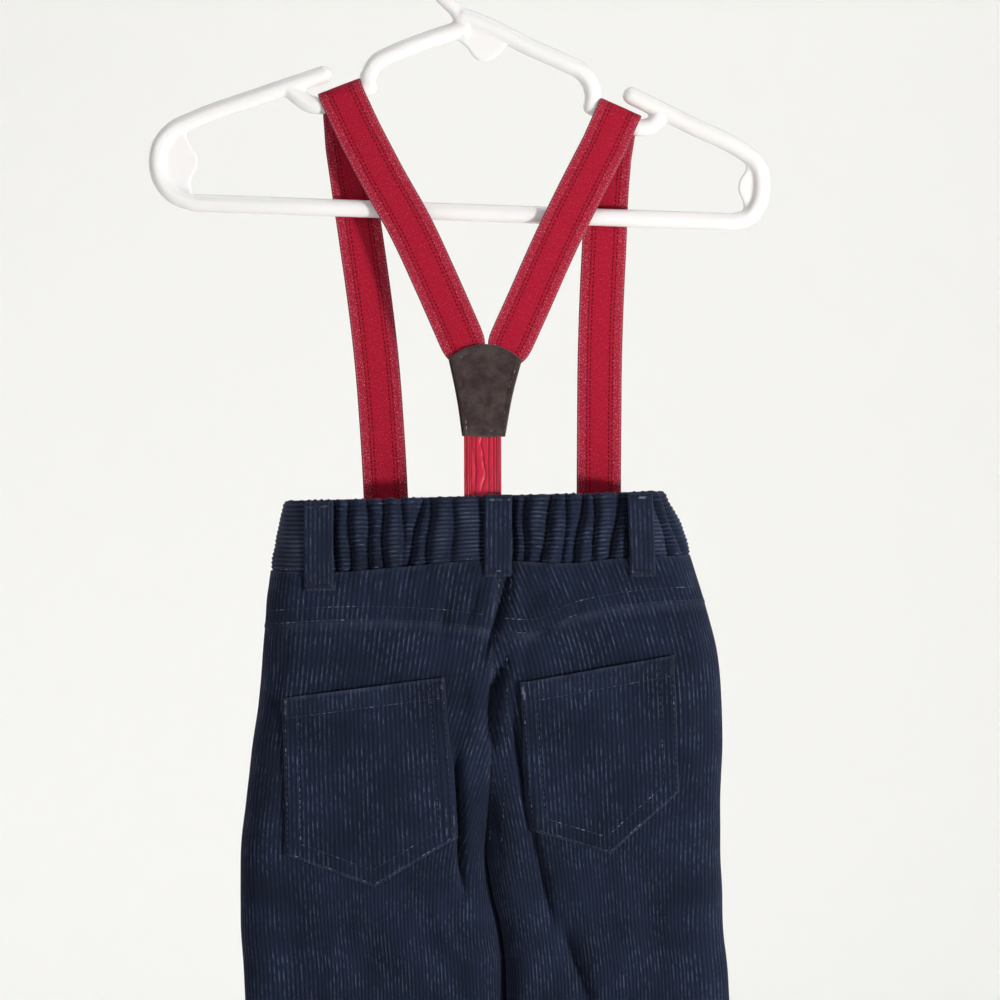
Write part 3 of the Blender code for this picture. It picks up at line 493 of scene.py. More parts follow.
def wale_grid(side, face, top, bottom, rows):
    """Heights and shares of a panel's points: one column for each quarter of a wale.

    A wale that runs into the centre seam ends there: the rest of its columns lie along the seam."""
    form = FORMS[side, face]
    chevron = CHEVRONS[face]
    shift = smooth_curve([row.z for row in chevron], [row.shift for row in chevron], form.z)[:, None]
    from_centre = form.arc[:, None] * (1 - SHARES)
    phase = form.arc[:, None] * SHARES + shift * np.clip(1 - from_centre / CHEVRON_REACH, 0.0, 1.0)
    wanted = np.arange(0.0, phase.max() + QUARTER, QUARTER)
    share = np.stack([np.interp(wanted, phase[i], SHARES) for i in range(len(form.z))])
    heights = top[0].z + (bottom[0].z - top[0].z) * rows[:, None] * np.ones_like(wanted)
    columns = np.arange(len(wanted))[None, :] * np.ones_like(heights, int)
    for _ in range(SEAM_ROUNDS):
        i, down = row_of(form, heights)
        shares = share[i, columns] * (1 - down) + share[i + 1, columns] * down
        x = read_form(form, heights, shares)[0]
        high = level(top, x) + SEAM_LAP
        heights = high + (level(bottom, x) - SEAM_LAP - high) * rows[:, None]
    used = shares.min(axis=0) < 1.0
    used[np.argmin(used):][:1] = True
    return heights[:, used], shares[:, used], wanted[used]


# %% Cloth walls
WELD = 0.0005
SMOOTH_ANGLE = 60.0


def cloth_wall(name, outer, inner, grain, wear, material):
    """A closed wall between two grids of points, with its grain and its wear and painted highlight kept as
    attributes.

    The grain holds millimetres across and along the wales, and how high the pile stands there."""
    rows, columns = outer.shape[:2]
    shape = bmesh.new()
    bmesh.ops.create_grid(shape, x_segments=columns - 1, y_segments=rows - 1, size=1.0)
    place = shape.verts.layers.int.new("place")
    grain_layer = shape.verts.layers.float_vector.new("grain")
    wear_and_highlight_layer = shape.verts.layers.float.new("wear")
    for number, vertex in enumerate(shape.verts):
        vertex[place] = number
    grown = bmesh.ops.extrude_face_region(shape, geom=shape.faces[:])
    far_side = {piece for piece in grown["geom"] if isinstance(piece, bmesh.types.BMVert)}
    outer = outer.reshape(-1, 3)
    inner = inner.reshape(-1, 3)
    grain = grain.reshape(-1, 3)
    wear = wear.reshape(-1)
    for vertex in shape.verts:
        number = vertex[place]
        vertex.co = (inner if vertex in far_side else outer)[number]
        vertex[grain_layer] = grain[number]
        vertex[wear_and_highlight_layer] = wear[number]
    bmesh.ops.remove_doubles(shape, verts=shape.verts[:], dist=WELD)
    bmesh.ops.recalc_face_normals(shape, faces=shape.faces[:])
    return finish_mesh(name, shape, material)


def finish_mesh(name, shape, material):
    """Turns a bmesh in millimetres into a smooth-shaded object that rides on the garment's body."""
    bmesh.ops.scale(shape, vec=(MM, MM, MM), verts=shape.verts[:])
    mesh = bpy.data.meshes.new(name)
    shape.to_mesh(mesh)
    shape.free()
    mesh.shade_smooth()
    mesh.set_sharp_from_angle(angle=math.radians(SMOOTH_ANGLE))
    mesh.materials.append(material)
    made = bpy.data.objects.new(name, mesh)
    bpy.context.scene.collection.objects.link(made)
    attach(made, "root")
    return made


def stack_points(x, y, z):
    """Three coordinates, each a grid or a number, as one grid of points."""
    return np.stack(np.broadcast_arrays(x, y, z), axis=-1)


# %% [markdown]
# ## Corduroy's finish
# Cotton corduroy is dyed after it is woven, so the pile on the wales and the bare ground between them take
# the same navy, but the pile swallows light and the ground between wales lies in shadow, painted here as
# darker grooves. Thin pale streaks along the crests are painted highlights, kept to patches as wear leaves
# them, and small painted glints stand for loose fibres. Its sheen is the soft pale rim that brushed fibres
# give.

# %% Corduroy material
# A Mix node takes its two colours at sockets 6 and 7, and gives their mix at output 2.
RGBA = {"data_type": "RGBA"}
TIMES = {"operation": "MULTIPLY"}
SMOOTH = {"interpolation_type": "SMOOTHSTEP"}


def stretched_noise(tree, grain, across, along, detail, roughness=0.5):
    """Noise whose grains are 1/across by 1/along millimetres on the cloth."""
    place = add_node(tree, "Mapping", inputs={"Vector": grain, "Scale": (across, along, 0.0)}).outputs[0]
    return add_node(tree, "TexNoise", inputs={"Vector": place, "Scale": 1.0, "Detail": detail,
                                             "Roughness": roughness}).outputs["Fac"]


def object_noise(tree, scale, detail, roughness=0.5):
    """Noise that is fixed to the object, with about `scale` grains to a metre."""
    place = add_node(tree, "TexCoord").outputs["Object"]
    return add_node(tree, "TexNoise", inputs={"Vector": place, "Scale": scale, "Detail": detail,
                                             "Roughness": roughness}).outputs["Fac"]


def read_cloth(tree):
    """The attributes that every cloth wall carries: its grain, the grain's three parts and its wear, which
    also holds painted highlights.
    """
    grain = add_node(tree, "Attribute", {"attribute_name": "grain"}).outputs["Vector"]
    wear = add_node(tree, "Attribute", {"attribute_name": "wear"}).outputs["Fac"]
    across, along, pile = add_node(tree, "SeparateXYZ", inputs={0: grain}).outputs
    return grain, across, along, pile, wear


def make_corduroy():
    """Cotton corduroy, dyed and brushed."""
    material, tree, shader = new_material("navy cotton corduroy", 0.92, 0.12)
    grain, across, _, pile, wear = read_cloth(tree)
    streaks = stretched_noise(tree, grain, 0.75, 0.22, 3.0, 0.6)
    worn_areas = stretched_noise(tree, grain, 0.075, 0.05, 3.0, 0.6)
    shading = stretched_noise(tree, grain, 0.03, 0.025, 2.0, 0.6)
    fuzz = stretched_noise(tree, grain, 2.2, 1.1, 4.0, 0.6)
    # Painted shade: the ground between the wales is painted darker than the crests.
    navy_with_painted_groove_shade = add_node(tree, "Mix", RGBA, {0: pile, 6: linear("#111826"), 7: linear("#192136")}).outputs[2]

    # Painted highlight on the crests: short pale streaks, only in patches, as worn cloth would show them.
    off_crest = add_node(tree, "Math", {"operation": "PINGPONG"}, {0: across, 1: WALE / 2}).outputs[0]
    crest = add_node(tree, "MapRange", SMOOTH, {"Value": off_crest, "From Min": 0.08, "From Max": 0.38,
                                               "To Min": 1.0, "To Max": 0.0}).outputs[0]
    streak = add_node(tree, "MapRange", SMOOTH,
                      {"Value": streaks, "From Min": 0.42, "From Max": 0.62}).outputs[0]
    worn = add_node(tree, "MapRange", SMOOTH, {"Value": worn_areas, "From Min": 0.4, "From Max": 0.62,
                                              "To Max": 0.75}).outputs[0]
    broken = add_node(tree, "Math", TIMES, {0: streak, 1: worn}).outputs[0]
    highlight_and_rubbing = add_node(tree, "Math", TIMES, {0: crest, 1: broken}).outputs[0]
    colour = add_node(tree, "Mix", RGBA, {0: highlight_and_rubbing, 6: navy_with_painted_groove_shade, 7: linear("#4d5771")}).outputs[2]

    # Painted glints: pale specks on the pile, where loose fibres catch light. Folded edges are rubbed paler,
    # and the same attribute carries painted highlights on the band's puffs and the elastic's ridges.
    specks = add_node(tree, "MapRange", SMOOTH, {"Value": fuzz, "From Min": 0.66, "From Max": 0.8,
                                                "To Max": 0.5}).outputs[0]
    painted_glints = add_node(tree, "Math", TIMES, {0: specks, 1: pile}).outputs[0]
    colour = add_node(tree, "Mix", RGBA, {0: painted_glints, 6: colour, 7: linear("#59627a")}).outputs[2]
    colour = add_node(tree, "Mix", RGBA, {0: wear, 6: colour, 7: linear("#565e75")}).outputs[2]
    shade = add_node(tree, "MapRange", inputs={"Value": shading, "From Min": 0.3, "From Max": 0.7,
                                              "To Min": 0.72, "To Max": 1.28}).outputs[0]
    tinted = add_node(tree, "VectorMath", {"operation": "SCALE"}, {0: colour, "Scale": shade}).outputs[0]
    tree.links.new(tinted, shader.inputs["Base Color"])
    bump = add_node(tree, "Bump", inputs={"Height": fuzz, "Strength": 0.7, "Distance": 0.0006})
    tree.links.new(bump.outputs[0], shader.inputs["Normal"])
    shader.inputs["Sheen Weight"].default_value = 0.2
    shader.inputs["Sheen Roughness"].default_value = 0.45
    shader.inputs["Sheen Tint"].default_value = linear("#8d96b8")
    return material


corduroy = make_corduroy()
print("finish:", corduroy.name)

# %% [markdown]
# ## Back panels, yokes and front panels
# The wall is drawn from the form: the folds move it in or out along its level normal, the wales stand on
# it, and near a seam the upper piece is folded under, so it stands a little proud of the one below.

# %% Panels
PANEL_CLOTH = 1.4
SEAM_ROLL = 1.7
SEAM_RISE = 0.6
RELIEF_EDGE = 4.0
EDGE_CLOTH = 0.03
EDGE_WEAR = 0.12
Patterned = namedtuple("Patterned", "piece flat area")
cloth_pieces = {}


def seam_roll(distance, height):
    """Raises or sinks the cloth within a roll's width of an edge."""
    return height * np.exp(-((np.clip(distance, 0.0, None) / SEAM_ROLL) ** 2))


def pile_rows(count, first=0):
    """How high the pile stands on a number of neighbouring quarters of a wale."""
    return WALE_PROFILE[(np.arange(count) + first) % len(WALE_PROFILE)]


def declare_cloth(name, node, piece, base, cut=None):
    """Hides the solid that a piece stands for and keeps the size that it was cut to."""
    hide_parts(node)
    wide, long = cut or (np.linalg.norm(np.diff(base, axis=1), axis=-1).sum(axis=1).max(),
                         np.linalg.norm(np.diff(base, axis=0), axis=-1).sum(axis=0).max())
    area = min(grid_area(base), wide * long) * MM * MM
    cloth_pieces[name] = Patterned(piece, (wide * MM, long * MM), area)
    print(name, len(piece.data.polygons), "faces")


def crowded_rows(count, start_z, crowd_z, crowd_reach, crowding):
    """Row places from 0 to 1, closer together round one height."""
    places = np.linspace(0.0, 1.0, 400)
    z = start_z + places * (HEM_Z - start_z)
    density = 1.0 + crowding * np.exp(-(((z - crowd_z) / crowd_reach) ** 2))
    total = np.concatenate([[0.0], np.cumsum((density[1:] + density[:-1]) / 2)])
    return np.interp(np.linspace(0.0, total[-1], count), total, places)


def grid_area(points):
    """The area of a grid of points in square millimetres."""
    across = np.diff(points, axis=1)[:-1]
    down = np.diff(points, axis=0)[:, :-1]
    return float(np.linalg.norm(np.cross(across, down), axis=-1).sum())


# The fronts of the legs meet behind the gap between them, so the gap shows dark cloth in place of the
# shadow seen through it: how far from the inseam along the cloth, how wide, how far past each other, and at
# what heights the bulge ends, with the length that each end takes.
BULGE_ARC = {"left": 6.0, "right": 13.5}
BULGE_WIDTH = 3.2
BULGE_LAP = 2.2
BULGE_TOP, BULGE_TOP_FADE = -468.0, 8.0
BULGE_FOOT, BULGE_FOOT_FADE = -585.0, 30.0
CROTCH_GAP = 0.5


def bulge_standing_for_gap_shade(x, z, arc, side):
    """How far the front of a leg leans towards the other leg, just below the crotch, filling the gap with
    cloth that stands for the shadow seen through it.
    """
    edge = section_value(side + "_in", z)
    gap = np.clip(section_value("right_in", z) - section_value("left_in", z) - CROTCH_GAP, 0.0, None)
    fade = np.clip((z - BULGE_FOOT) / BULGE_FOOT_FADE, 0.0, 1.0)
    fade = fade * np.clip((BULGE_TOP - z) / BULGE_TOP_FADE, 0.0, 1.0)
    reach = (np.abs(x - edge) + gap / 2 + BULGE_LAP) * fade
    return reach * np.exp(-(((arc - BULGE_ARC[side]) / BULGE_WIDTH) ** 2))


def corduroy_panel(part, side, face, top, bottom, rows):
    """One panel of a leg, from its side seam to the centre seam, and from one seam line to another."""
    heights, shares, phases = wale_grid(side, face, top, bottom, rows)
    form = FORMS[side, face]
    x, y, nx, ny = read_form(form, heights, shares)
    arc = np.interp(-heights, -form.z, form.arc)
    from_centre = arc * (1 - shares)
    toward, facing = TOWARD_CENTRE[side], FACING[face]
    if face == "front":
        # The fronts lean into the gap, so that it shows dark cloth standing in for the shadow there.
        x = x + toward * bulge_standing_for_gap_shade(x, heights, from_centre, side)
    x = x + toward * SEAM_LAP * np.exp(-from_centre)
    relief = RELIEF[face](x, heights)
    from_top, from_foot = level(top, x) - heights, heights - level(bottom, x)
    relief += seam_roll(from_top, SEAM_RISE) - seam_roll(from_foot, SEAM_RISE)
    to_seam = np.minimum(from_centre, arc * shares)
    nx = nx * (1.0 - np.exp(-((to_seam / RELIEF_EDGE) ** 2)))
    relief = relief + seam_roll(to_seam, SEAM_RISE)
    pile = np.where(shares < 1.0, pile_rows(len(phases)), 0.5)
    stand = PILE * pile * (1.0 + 0.45 * ripple(x * 3.0, heights, 21.0, 0.7)) - PILE / 2
    base = stack_points(x - nx * relief, y - ny * relief, heights)
    normal = stack_points(nx, ny, np.zeros_like(nx))
    outer = base + normal * stand[..., None]
    inner = base - normal * PANEL_CLOTH
    for wall, least in ((outer, EDGE_CLOTH), (inner, 0.0)):
        wall[..., 1] = facing * np.maximum(facing * wall[..., 1], least)
    grain = stack_points(phases[None, :], -heights, pile)
    edge = np.minimum(np.minimum(from_top, from_foot), from_centre)
    wear = (EDGE_WEAR + 0.1 * ripple(x, heights, 17.0, 1.4)) * np.exp(-((edge / 1.2) ** 2))
    name = "corduroy_" + part + "_" + side
    piece = cloth_wall(name, outer, inner, grain, wear, corduroy)
    declare_cloth(name, part + "_" + side, piece, base, (arc.max(), heights.max() - heights.min()))


LEG_ROWS = crowded_rows(100, -350.0, -470.0, 60.0, 0.8)
FRONT_ROWS = crowded_rows(72, -330.0, -460.0, 60.0, 0.6)
YOKE_ROWS = np.linspace(0.0, 1.0, 18)
for side in ("left", "right"):
    corduroy_panel("back", side, "back", YOKE_SEAM, HEM, LEG_ROWS)
    corduroy_panel("yoke", side, "back", WAIST_SEAM, YOKE_SEAM, YOKE_ROWS)
    corduroy_panel("front", side, "front", WAIST_SEAM, HEM, FRONT_ROWS)

# %% [markdown]
# ## Waistband
# The back of the band is a casing with wide elastic inside, so the cloth is gathered: tight valleys with
# puffs between them. Its wales run round the body, across those of the panels. The band is drawn as one wall
# from side seam to side seam, with a row of points for each quarter of a wale and a lip that rolls over at
# the top. The front of the band is nearly plain.

# %% Waistband
BAND_CLOTH = 2.2
BAND_WALES = 16
BAND_LIP = 1.8
BAND_PILE = 0.62
GATHER_SHARPNESS = 1.15
GATHERS_REACH = (-98.0, 112.0)
GATHERS_FADE = 7.0
RUFFLE_PITCH = 4.4
RUFFLE_REACH = 3.5
BAND_SEAM_RISE = 0.84
BAND_ROUNDS = 3
# Each piece starts its grain far from the others', in whole wales, so that no two have the same flecks.
BAND_GRAIN, POCKET_GRAIN, LOOP_GRAIN = 200 * WALE, 300 * WALE, 400 * WALE


def valleys(gathers, x, share):
    """How deep the gathers are at a place on the band, from 0 on a puff to about 1 in a valley."""
    depth = np.zeros_like(x)
    for gather in gathers:
        middle = gather.top + (gather.foot - gather.top) * share
        middle = middle + 0.5 * np.sin(7.0 * share + gather.top)
        depth += gather.depth * np.exp(-(np.abs((x - middle) / (0.75 * gather.width)) ** GATHER_SHARPNESS))
    return depth


def waistband(face, gathers, columns, depth, puff, ruffle):
    """One face of the band, in a single piece from side seam to side seam."""
    rows = np.linspace(0.0, 1.0, BAND_WALES * len(WALE_PROFILE) + 1)
    halves = []
    for side in ("left", "right"):
        shares = np.linspace(0.0, 1.0, columns) * np.ones((len(rows), 1))
        z = np.full(shares.shape, WAIST_TOP[0].z)
        for _ in range(BAND_ROUNDS):
            x, y, nx, ny = read_form(FORMS[side, face], z, shares)
            high = level(WAIST_TOP, x)
            z = high + (level(WAIST_SEAM, x) - high) * rows[:, None]
        half = np.stack([x, y, z, nx, ny], axis=-1)
        halves.append(half if side == "left" else half[:, ::-1][:, 1:])
    x, y, z, nx, ny = np.moveaxis(np.concatenate(halves, axis=1), -1, 0)
    share = rows[:, None] * np.ones_like(x)
    from_top = share * BAND_HEIGHT
    ends = np.clip(np.minimum(x - GATHERS_REACH[0], GATHERS_REACH[1] - x) / GATHERS_FADE, 0.0, 1.0)
    valley = valleys(gathers, x, share) * ends
    swell = 0.45 + 0.55 * np.sin(math.pi * np.clip(share, 0.02, 0.98)) ** 0.7
    wave = np.sin(2 * math.pi * x / RUFFLE_PITCH + 3.0 * np.sin(x / 11.0) + 1.6 * np.sin(x / 4.1))
    wave = wave * (0.6 + 0.6 * ripple(x, np.zeros_like(x), 9.0, 0.3))
    wave = wave * np.exp(-from_top / RUFFLE_REACH) * ends
    relief = depth * valley - puff * np.clip(1 - valley, 0.0, 1.0) * swell * ends
    relief += ruffle * 0.5 * wave + 0.25 * ripple(x, z, 12.0, 1.0)
    relief += 1.2 * np.clip(1 - from_top / BAND_LIP, 0.0, 1.0) ** 2
    relief += seam_roll(BAND_HEIGHT - from_top, BAND_SEAM_RISE)
    z = z + (ruffle * wave - 0.7 * valley * ruffle) * np.exp(-from_top / 9.0)
    z = z - 0.9 * np.clip(valley, 0.0, 1.2) * np.sin(math.pi * share) - 0.2 * share
    pile = pile_rows(len(rows))[:, None] * np.ones_like(x)
    stand = BAND_PILE * pile * (1.0 + 0.3 * ripple(z * 3.0, x, 17.0, 0.4)) - BAND_PILE / 2
    base = stack_points(x - nx * relief, y - ny * relief, z)
    normal = stack_points(nx, ny, np.zeros_like(nx))
    outer = base + normal * stand[..., None]
    inner = base - normal * BAND_CLOTH
    inner[..., 2] = np.minimum(inner[..., 2], level(WAIST_TOP, x) - 0.4)
    for wall in (outer, inner):
        wall[..., 1] = FACING[face] * np.maximum(FACING[face] * wall[..., 1], 0.0)
    grain = stack_points(BAND_GRAIN + QUARTER * np.arange(len(rows))[:, None], x, pile)
    # Painted highlight: wale crests on the puffs are made paler, added to the real rubbing at the top edge.
    wear = 0.12 * np.exp(-((from_top / 1.5) ** 2)) + 0.3 * pile * np.clip(-relief / 1.8, 0.0, 1.0)
    name = "corduroy_waistband_" + face
    piece = cloth_wall(name, outer, inner, grain, wear, corduroy)
    declare_cloth(name, "waistband_" + face, piece, base)


waistband("back", GATHERS, columns=200, depth=5.6, puff=1.8, ruffle=0.6)
waistband("front", FRONT_GATHERS, columns=90, depth=0.8, puff=0.3, ruffle=0.12)

# %% [markdown]
# ## Patch pockets
# A patch pocket is one flat piece, hemmed at its mouth, folded under along its other edges and sewn down in
# two rows. It takes its place from the panel under it, moved out by the panel's pile and its own cloth. Its
# edges roll down to the panel, the mouth gapes a little, and each row of stitches pulls a shallow groove.

# %% Pockets
Corner = namedtuple("Corner", "x z")
POCKETS = {
    "left": [Corner(-93.0, -394.5), Corner(-12.5, -384.0), Corner(-7.5, -464.5),
             Corner(-47.5, -488.5), Corner(-91.5, -472.5)],
    "right": [Corner(24.8, -387.0), Corner(101.5, -373.0), Corner(104.0, -441.0),
              Corner(70.0, -472.0), Corner(30.5, -460.0)],
}
POCKET_CLOTH = 1.9
POCKET_LIFT = 0.75
POCKET_ROWS = 44
POCKET_HEM = 10.0
POCKET_EDGE = 1.1
POCKET_SECOND_ROW = 7.6
MOUTH_GAPE = 1.3
GAPE_REACH = 8.0
STITCH_GROOVE = 0.22
GROOVE_REACH = 0.8
HEM_THICKER = 0.35
PUCKER = 0.16
PUCKER_PITCH = 5.2
PUCKER_REACH = 9.0


def back_y(side, x, z):
    """The back's outer face at places seen from behind, folds included."""
    outer = section_value(side, z)
    inner = section_value(side + "_in", z)
    reach = np.abs(inner - outer)
    across = np.abs(x - outer)
    parted = np.clip(section_value("parted", z), 0.0, 1.0)
    rise = round_share(across, SIDE_ROUND)
    rise = rise * ((1 - parted) + parted * round_share(np.clip(reach - across, 0.0, None), INSEAM_ROUND))
    return -section_value("back", z) * rise + back_relief(x, z)


def line_distance(x, z, start, end):
    """The distance from places to an endless line."""
    run = np.array(end, float) - np.array(start, float)
    return np.abs((x - start[0]) * run[1] - (z - start[1]) * run[0]) / np.hypot(*run)


def pocket_grid(corners, columns, rows):
    """Maps a grid onto a five-cornered pocket: the foot's point is on one column."""
    top_left, top_right, low_right, tip, low_left = [np.array(corner, float) for corner in corners]
    tip_share = (tip[0] - low_left[0]) / (low_right[0] - low_left[0])
    shares = np.linspace(0.0, 1.0, columns)
    nearest = int(np.argmin(np.abs(shares - tip_share)))
    shares = np.interp(np.arange(columns), [0, nearest, columns - 1], [0.0, tip_share, 1.0])[:, None]
    head = top_left + (top_right - top_left) * shares
    left_foot = low_left + (tip - low_left) * shares / tip_share
    right_foot = tip + (low_right - tip) * (shares - tip_share) / (1 - tip_share)
    foot = np.where(shares <= tip_share, left_foot, right_foot)
    down = np.linspace(0.0, 1.0, rows)[:, None, None]
    return head + (foot - head) * down


def outward(points, facing):
    """Unit normals of a grid of points, turned to the back (-1) or the front (1)."""
    normals = np.cross(np.gradient(points, axis=1), np.gradient(points, axis=0))
    normals /= np.linalg.norm(normals, axis=-1, keepdims=True)
    middle = normals[normals.shape[0] // 2, normals.shape[1] // 2, 1]
    return normals * (math.copysign(1.0, middle) * facing)


def pocket(side):
    """A pocket as a grid of points on its panel, lifted by its hem, grooves, puckers and pile."""
    corners = POCKETS[side]
    columns = int(round((corners[1].x - corners[0].x) / QUARTER)) + 1
    flat = pocket_grid(corners, columns, POCKET_ROWS)
    x, z = flat[..., 0], flat[..., 1]
    from_mouth = line_distance(x, z, corners[0], corners[1])
    from_edge = np.minimum.reduce([line_distance(x, z, *pair)
                                   for pair in zip(corners[1:], corners[2:] + corners[:1])])
    across = np.linspace(0.0, 1.0, columns)[None, :]
    gape = MOUTH_GAPE * np.sin(math.pi * across) ** 0.8 * np.exp(-((from_mouth / GAPE_REACH) ** 2))
    lift = POCKET_LIFT + gape
    base = stack_points(x, back_y(side, x, z), z)
    normal = outward(base, -1.0)
    edge_roll = np.clip(1 - np.minimum(from_edge, from_mouth) / POCKET_EDGE, 0.0, 1.0) ** 2
    grooves = sum(STITCH_GROOVE * np.exp(-((away / GROOVE_REACH) ** 2))
                  for away in (from_edge - POCKET_SECOND_ROW, from_mouth - POCKET_HEM))
    hem = HEM_THICKER / (1 + np.exp((from_mouth - POCKET_HEM) / 0.5))
    pucker = PUCKER * np.sin(2 * math.pi * (x + z) / PUCKER_PITCH)
    pucker = pucker * np.exp(-((from_edge / PUCKER_REACH) ** 2))
    pile = pile_rows(columns)[None, :] * np.ones_like(x)
    stand = PILE * pile * (1.0 - 0.6 * edge_roll) * (1.0 + 0.25 * ripple(x * 3.0, z, 19.0, 1.3))
    height = lift + POCKET_CLOTH + hem - 0.7 * edge_roll - grooves + pucker + stand - PILE / 2
    height += 0.25 * ripple(x, z, 26.0, 0.9)
    outer = base + normal * height[..., None]
    inner = base + normal * lift[..., None]
    grain = stack_points(POCKET_GRAIN + QUARTER * np.arange(columns)[None, :], -z, pile)
    wear = (0.16 + 0.16 * ripple(x, z, 14.0, 2.1)) * edge_roll + 0.04 * hem
    name = "corduroy_pocket_" + side
    piece = cloth_wall(name, outer, inner, grain, wear, corduroy)
    declare_cloth(name, "pocket_" + side, piece, base)


for side in POCKETS:
    pocket(side)

# %% [markdown]
# ## Belt loops
# A belt loop is a strip of the same cloth, its edges folded under, laid over the gathered band and sewn down
# at its two ends. It bridges the puffs, so its height is read by rays from behind onto the pieces under it,
# and only the nearest hit of each row counts.

# %% Rays
BEHIND = -200.0


def search_tree(piece):
    """A searchable copy of a piece's faces, in millimetres."""
    points = [vertex.co / MM for vertex in piece.data.vertices]
    return BVHTree.FromPolygons(points, [tuple(face.vertices) for face in piece.data.polygons])


TREES = {name: search_tree(made.piece) for name, made in cloth_pieces.items()}
BACK_TREES = [tree for name, tree in TREES.items() if "front" not in name]
FRONT_TREES = [tree for name, tree in TREES.items() if "front" in name]


def touch(x, z, facing=-1.0):
    """The outermost cloth at a place seen from behind (-1) or from the front (1), or None."""
    start = Vector((x, facing * -BEHIND, z))
    ahead = Vector((0.0, -facing, 0.0))
    hits = [tree.ray_cast(start, ahead)[0] for tree in (BACK_TREES if facing < 0 else FRONT_TREES)]
    found = [hit.y for hit in hits if hit]
    if not found:
        return None
    return min(found) if facing < 0 else max(found)


# %% Loops
Loop = namedtuple("Loop", "name x_top x_foot width top foot")
LOOPS = [
    Loop("left", -75.0, -75.0, 14.5, -296.5, -341.0),
    Loop("middle", 14.2, 14.0, 13.5, -293.0, -334.0),
    Loop("right", 84.5, 86.0, 12.5, -292.0, -334.0),
]
LOOP_CLOTH = 1.7
LOOP_ROWS = 30
LOOP_EDGE = 1.2
LOOP_PROBES = 9
LOOP_LENGTH = 44.0
LOOP_BOW = 0.5
LOOP_GAP = 0.25
TACK_PLACE = 2.5
TACK_REACH = 1.5
TACK_SINK = 0.5
FIRST_QUARTER = 2


def belt_loop(loop):
    """A strip over the band, laid on what lies highest under it, and sunk where it is tacked down."""
    heights = np.linspace(loop.top - 0.3, loop.foot, LOOP_ROWS)
    share = np.linspace(0.0, 1.0, LOOP_ROWS)
    middles = loop.x_top + (loop.x_foot - loop.x_top) * share
    columns = int(round(loop.width / QUARTER)) + 1
    across = np.linspace(-loop.width / 2, loop.width / 2, columns)
    under = np.linspace(-loop.width / 2, loop.width / 2, LOOP_PROBES)
    carried = []
    for z, middle in zip(heights, middles):
        hits = [touch(middle + dx, z) for dx in under]
        carried.append(min(hit for hit in hits if hit is not None))
    carried = np.array([min(carried[max(0, i - 2):i + 3]) for i in range(LOOP_ROWS)])
    carried = np.convolve(np.pad(carried, 2, mode="edge"), np.ones(5) / 5, mode="valid")
    carried = carried - LOOP_GAP - LOOP_BOW * np.sin(math.pi * share)
    tack = sum(TACK_SINK * np.exp(-((end * LOOP_LENGTH - TACK_PLACE) / TACK_REACH) ** 2)
               for end in (share, 1 - share))
    x = middles[:, None] + across[None, :]
    from_edge = loop.width / 2 - np.abs(across)
    from_end = np.minimum(share, 1 - share) * (loop.top - loop.foot)
    roll = np.clip(1 - from_edge / LOOP_EDGE, 0.0, 1.0)[None, :] ** 2
    roll = np.maximum(roll, np.clip(1 - from_end / LOOP_EDGE, 0.0, 1.0)[:, None] ** 2)
    pile = pile_rows(columns, FIRST_QUARTER)[None, :] * np.ones_like(x)
    height = LOOP_CLOTH - 0.9 * roll - 0.6 * tack[:, None] + PILE * pile * (1 - 0.5 * roll) - PILE / 2
    inner = stack_points(x, carried[:, None], heights[:, None])
    outer = stack_points(x, carried[:, None] - height, heights[:, None])
    quarters = np.arange(columns)[None, :] + FIRST_QUARTER
    grain = stack_points(LOOP_GRAIN + QUARTER * quarters, -heights[:, None], pile)
    wear = (0.1 + 0.12 * ripple(x, heights[:, None], 11.0, 0.6)) * roll + 0.03
    name = "corduroy_loop_" + loop.name
    piece = cloth_wall(name, outer, inner, grain, wear, corduroy)
    declare_cloth(name, "loop_" + loop.name, piece, inner)
    return piece


for loop in LOOPS:
    TREES["loop " + loop.name] = search_tree(belt_loop(loop))
    BACK_TREES.append(TREES["loop " + loop.name])

# %% [markdown]
# ## Sewing
# Topstitching is a thread that dips between the wales and shows on their crests. Each stitch is a small
# stretched ball laid from one ray's hit to the next, and all the stitches are one mesh, because a thousand
# objects would be slow. Bar tacks are the same stitches laid side by side across the row.

# %% Stitches
THREAD = 0.46
STITCH = 2.3
STITCH_PITCH = 3.0
TACK_PITCH = 0.55
TACK_WIDTH = 1.9


def make_thread(name, buried, shown):
    """Spun polyester sewing thread: buried in the nap in most places, and rubbed paler where it shows."""
    material, tree, shader = new_material(name, 0.6, 0.3)
    noise = object_noise(tree, 170.0, 2.0)
    shows = add_node(tree, "MapRange", SMOOTH, {"Value": noise, "From Min": 0.54, "From Max": 0.7}).outputs[0]
    shade = add_node(tree, "Mix", RGBA, {0: shows, 6: linear(buried), 7: linear(shown)})
    tree.links.new(shade.outputs[2], shader.inputs["Base Color"])
    return material


Stitch = namedtuple("Stitch", "start end")


def stitch_row(route, facing=-1.0, sink=0.16, skip=()):
    """Running stitches along a route seen from behind, laid on whatever cloth is outermost there."""
    route = smooth_route(route, STITCH_PITCH / 4)
    along = run_along(route)
    made = []
    for begin in np.arange(0.4, along[-1] - STITCH, STITCH_PITCH):
        spots = [begin, begin + STITCH / 2, begin + STITCH]
        x = np.interp(spots, along, route[:, 0])
        z = np.interp(spots, along, route[:, 1])
        found = [touch(*spot, facing) for spot in zip(x, z)]
        if None in found or any(low < x[1] < high for low, high in skip):
            continue
        lift = max(0.0, facing * (found[1] - (found[0] + found[2]) / 2)) * 0.6 - sink + THREAD / 2
        made.append(Stitch((x[0], found[0] + facing * lift, z[0]), (x[2], found[2] + facing * lift, z[2])))
    return made


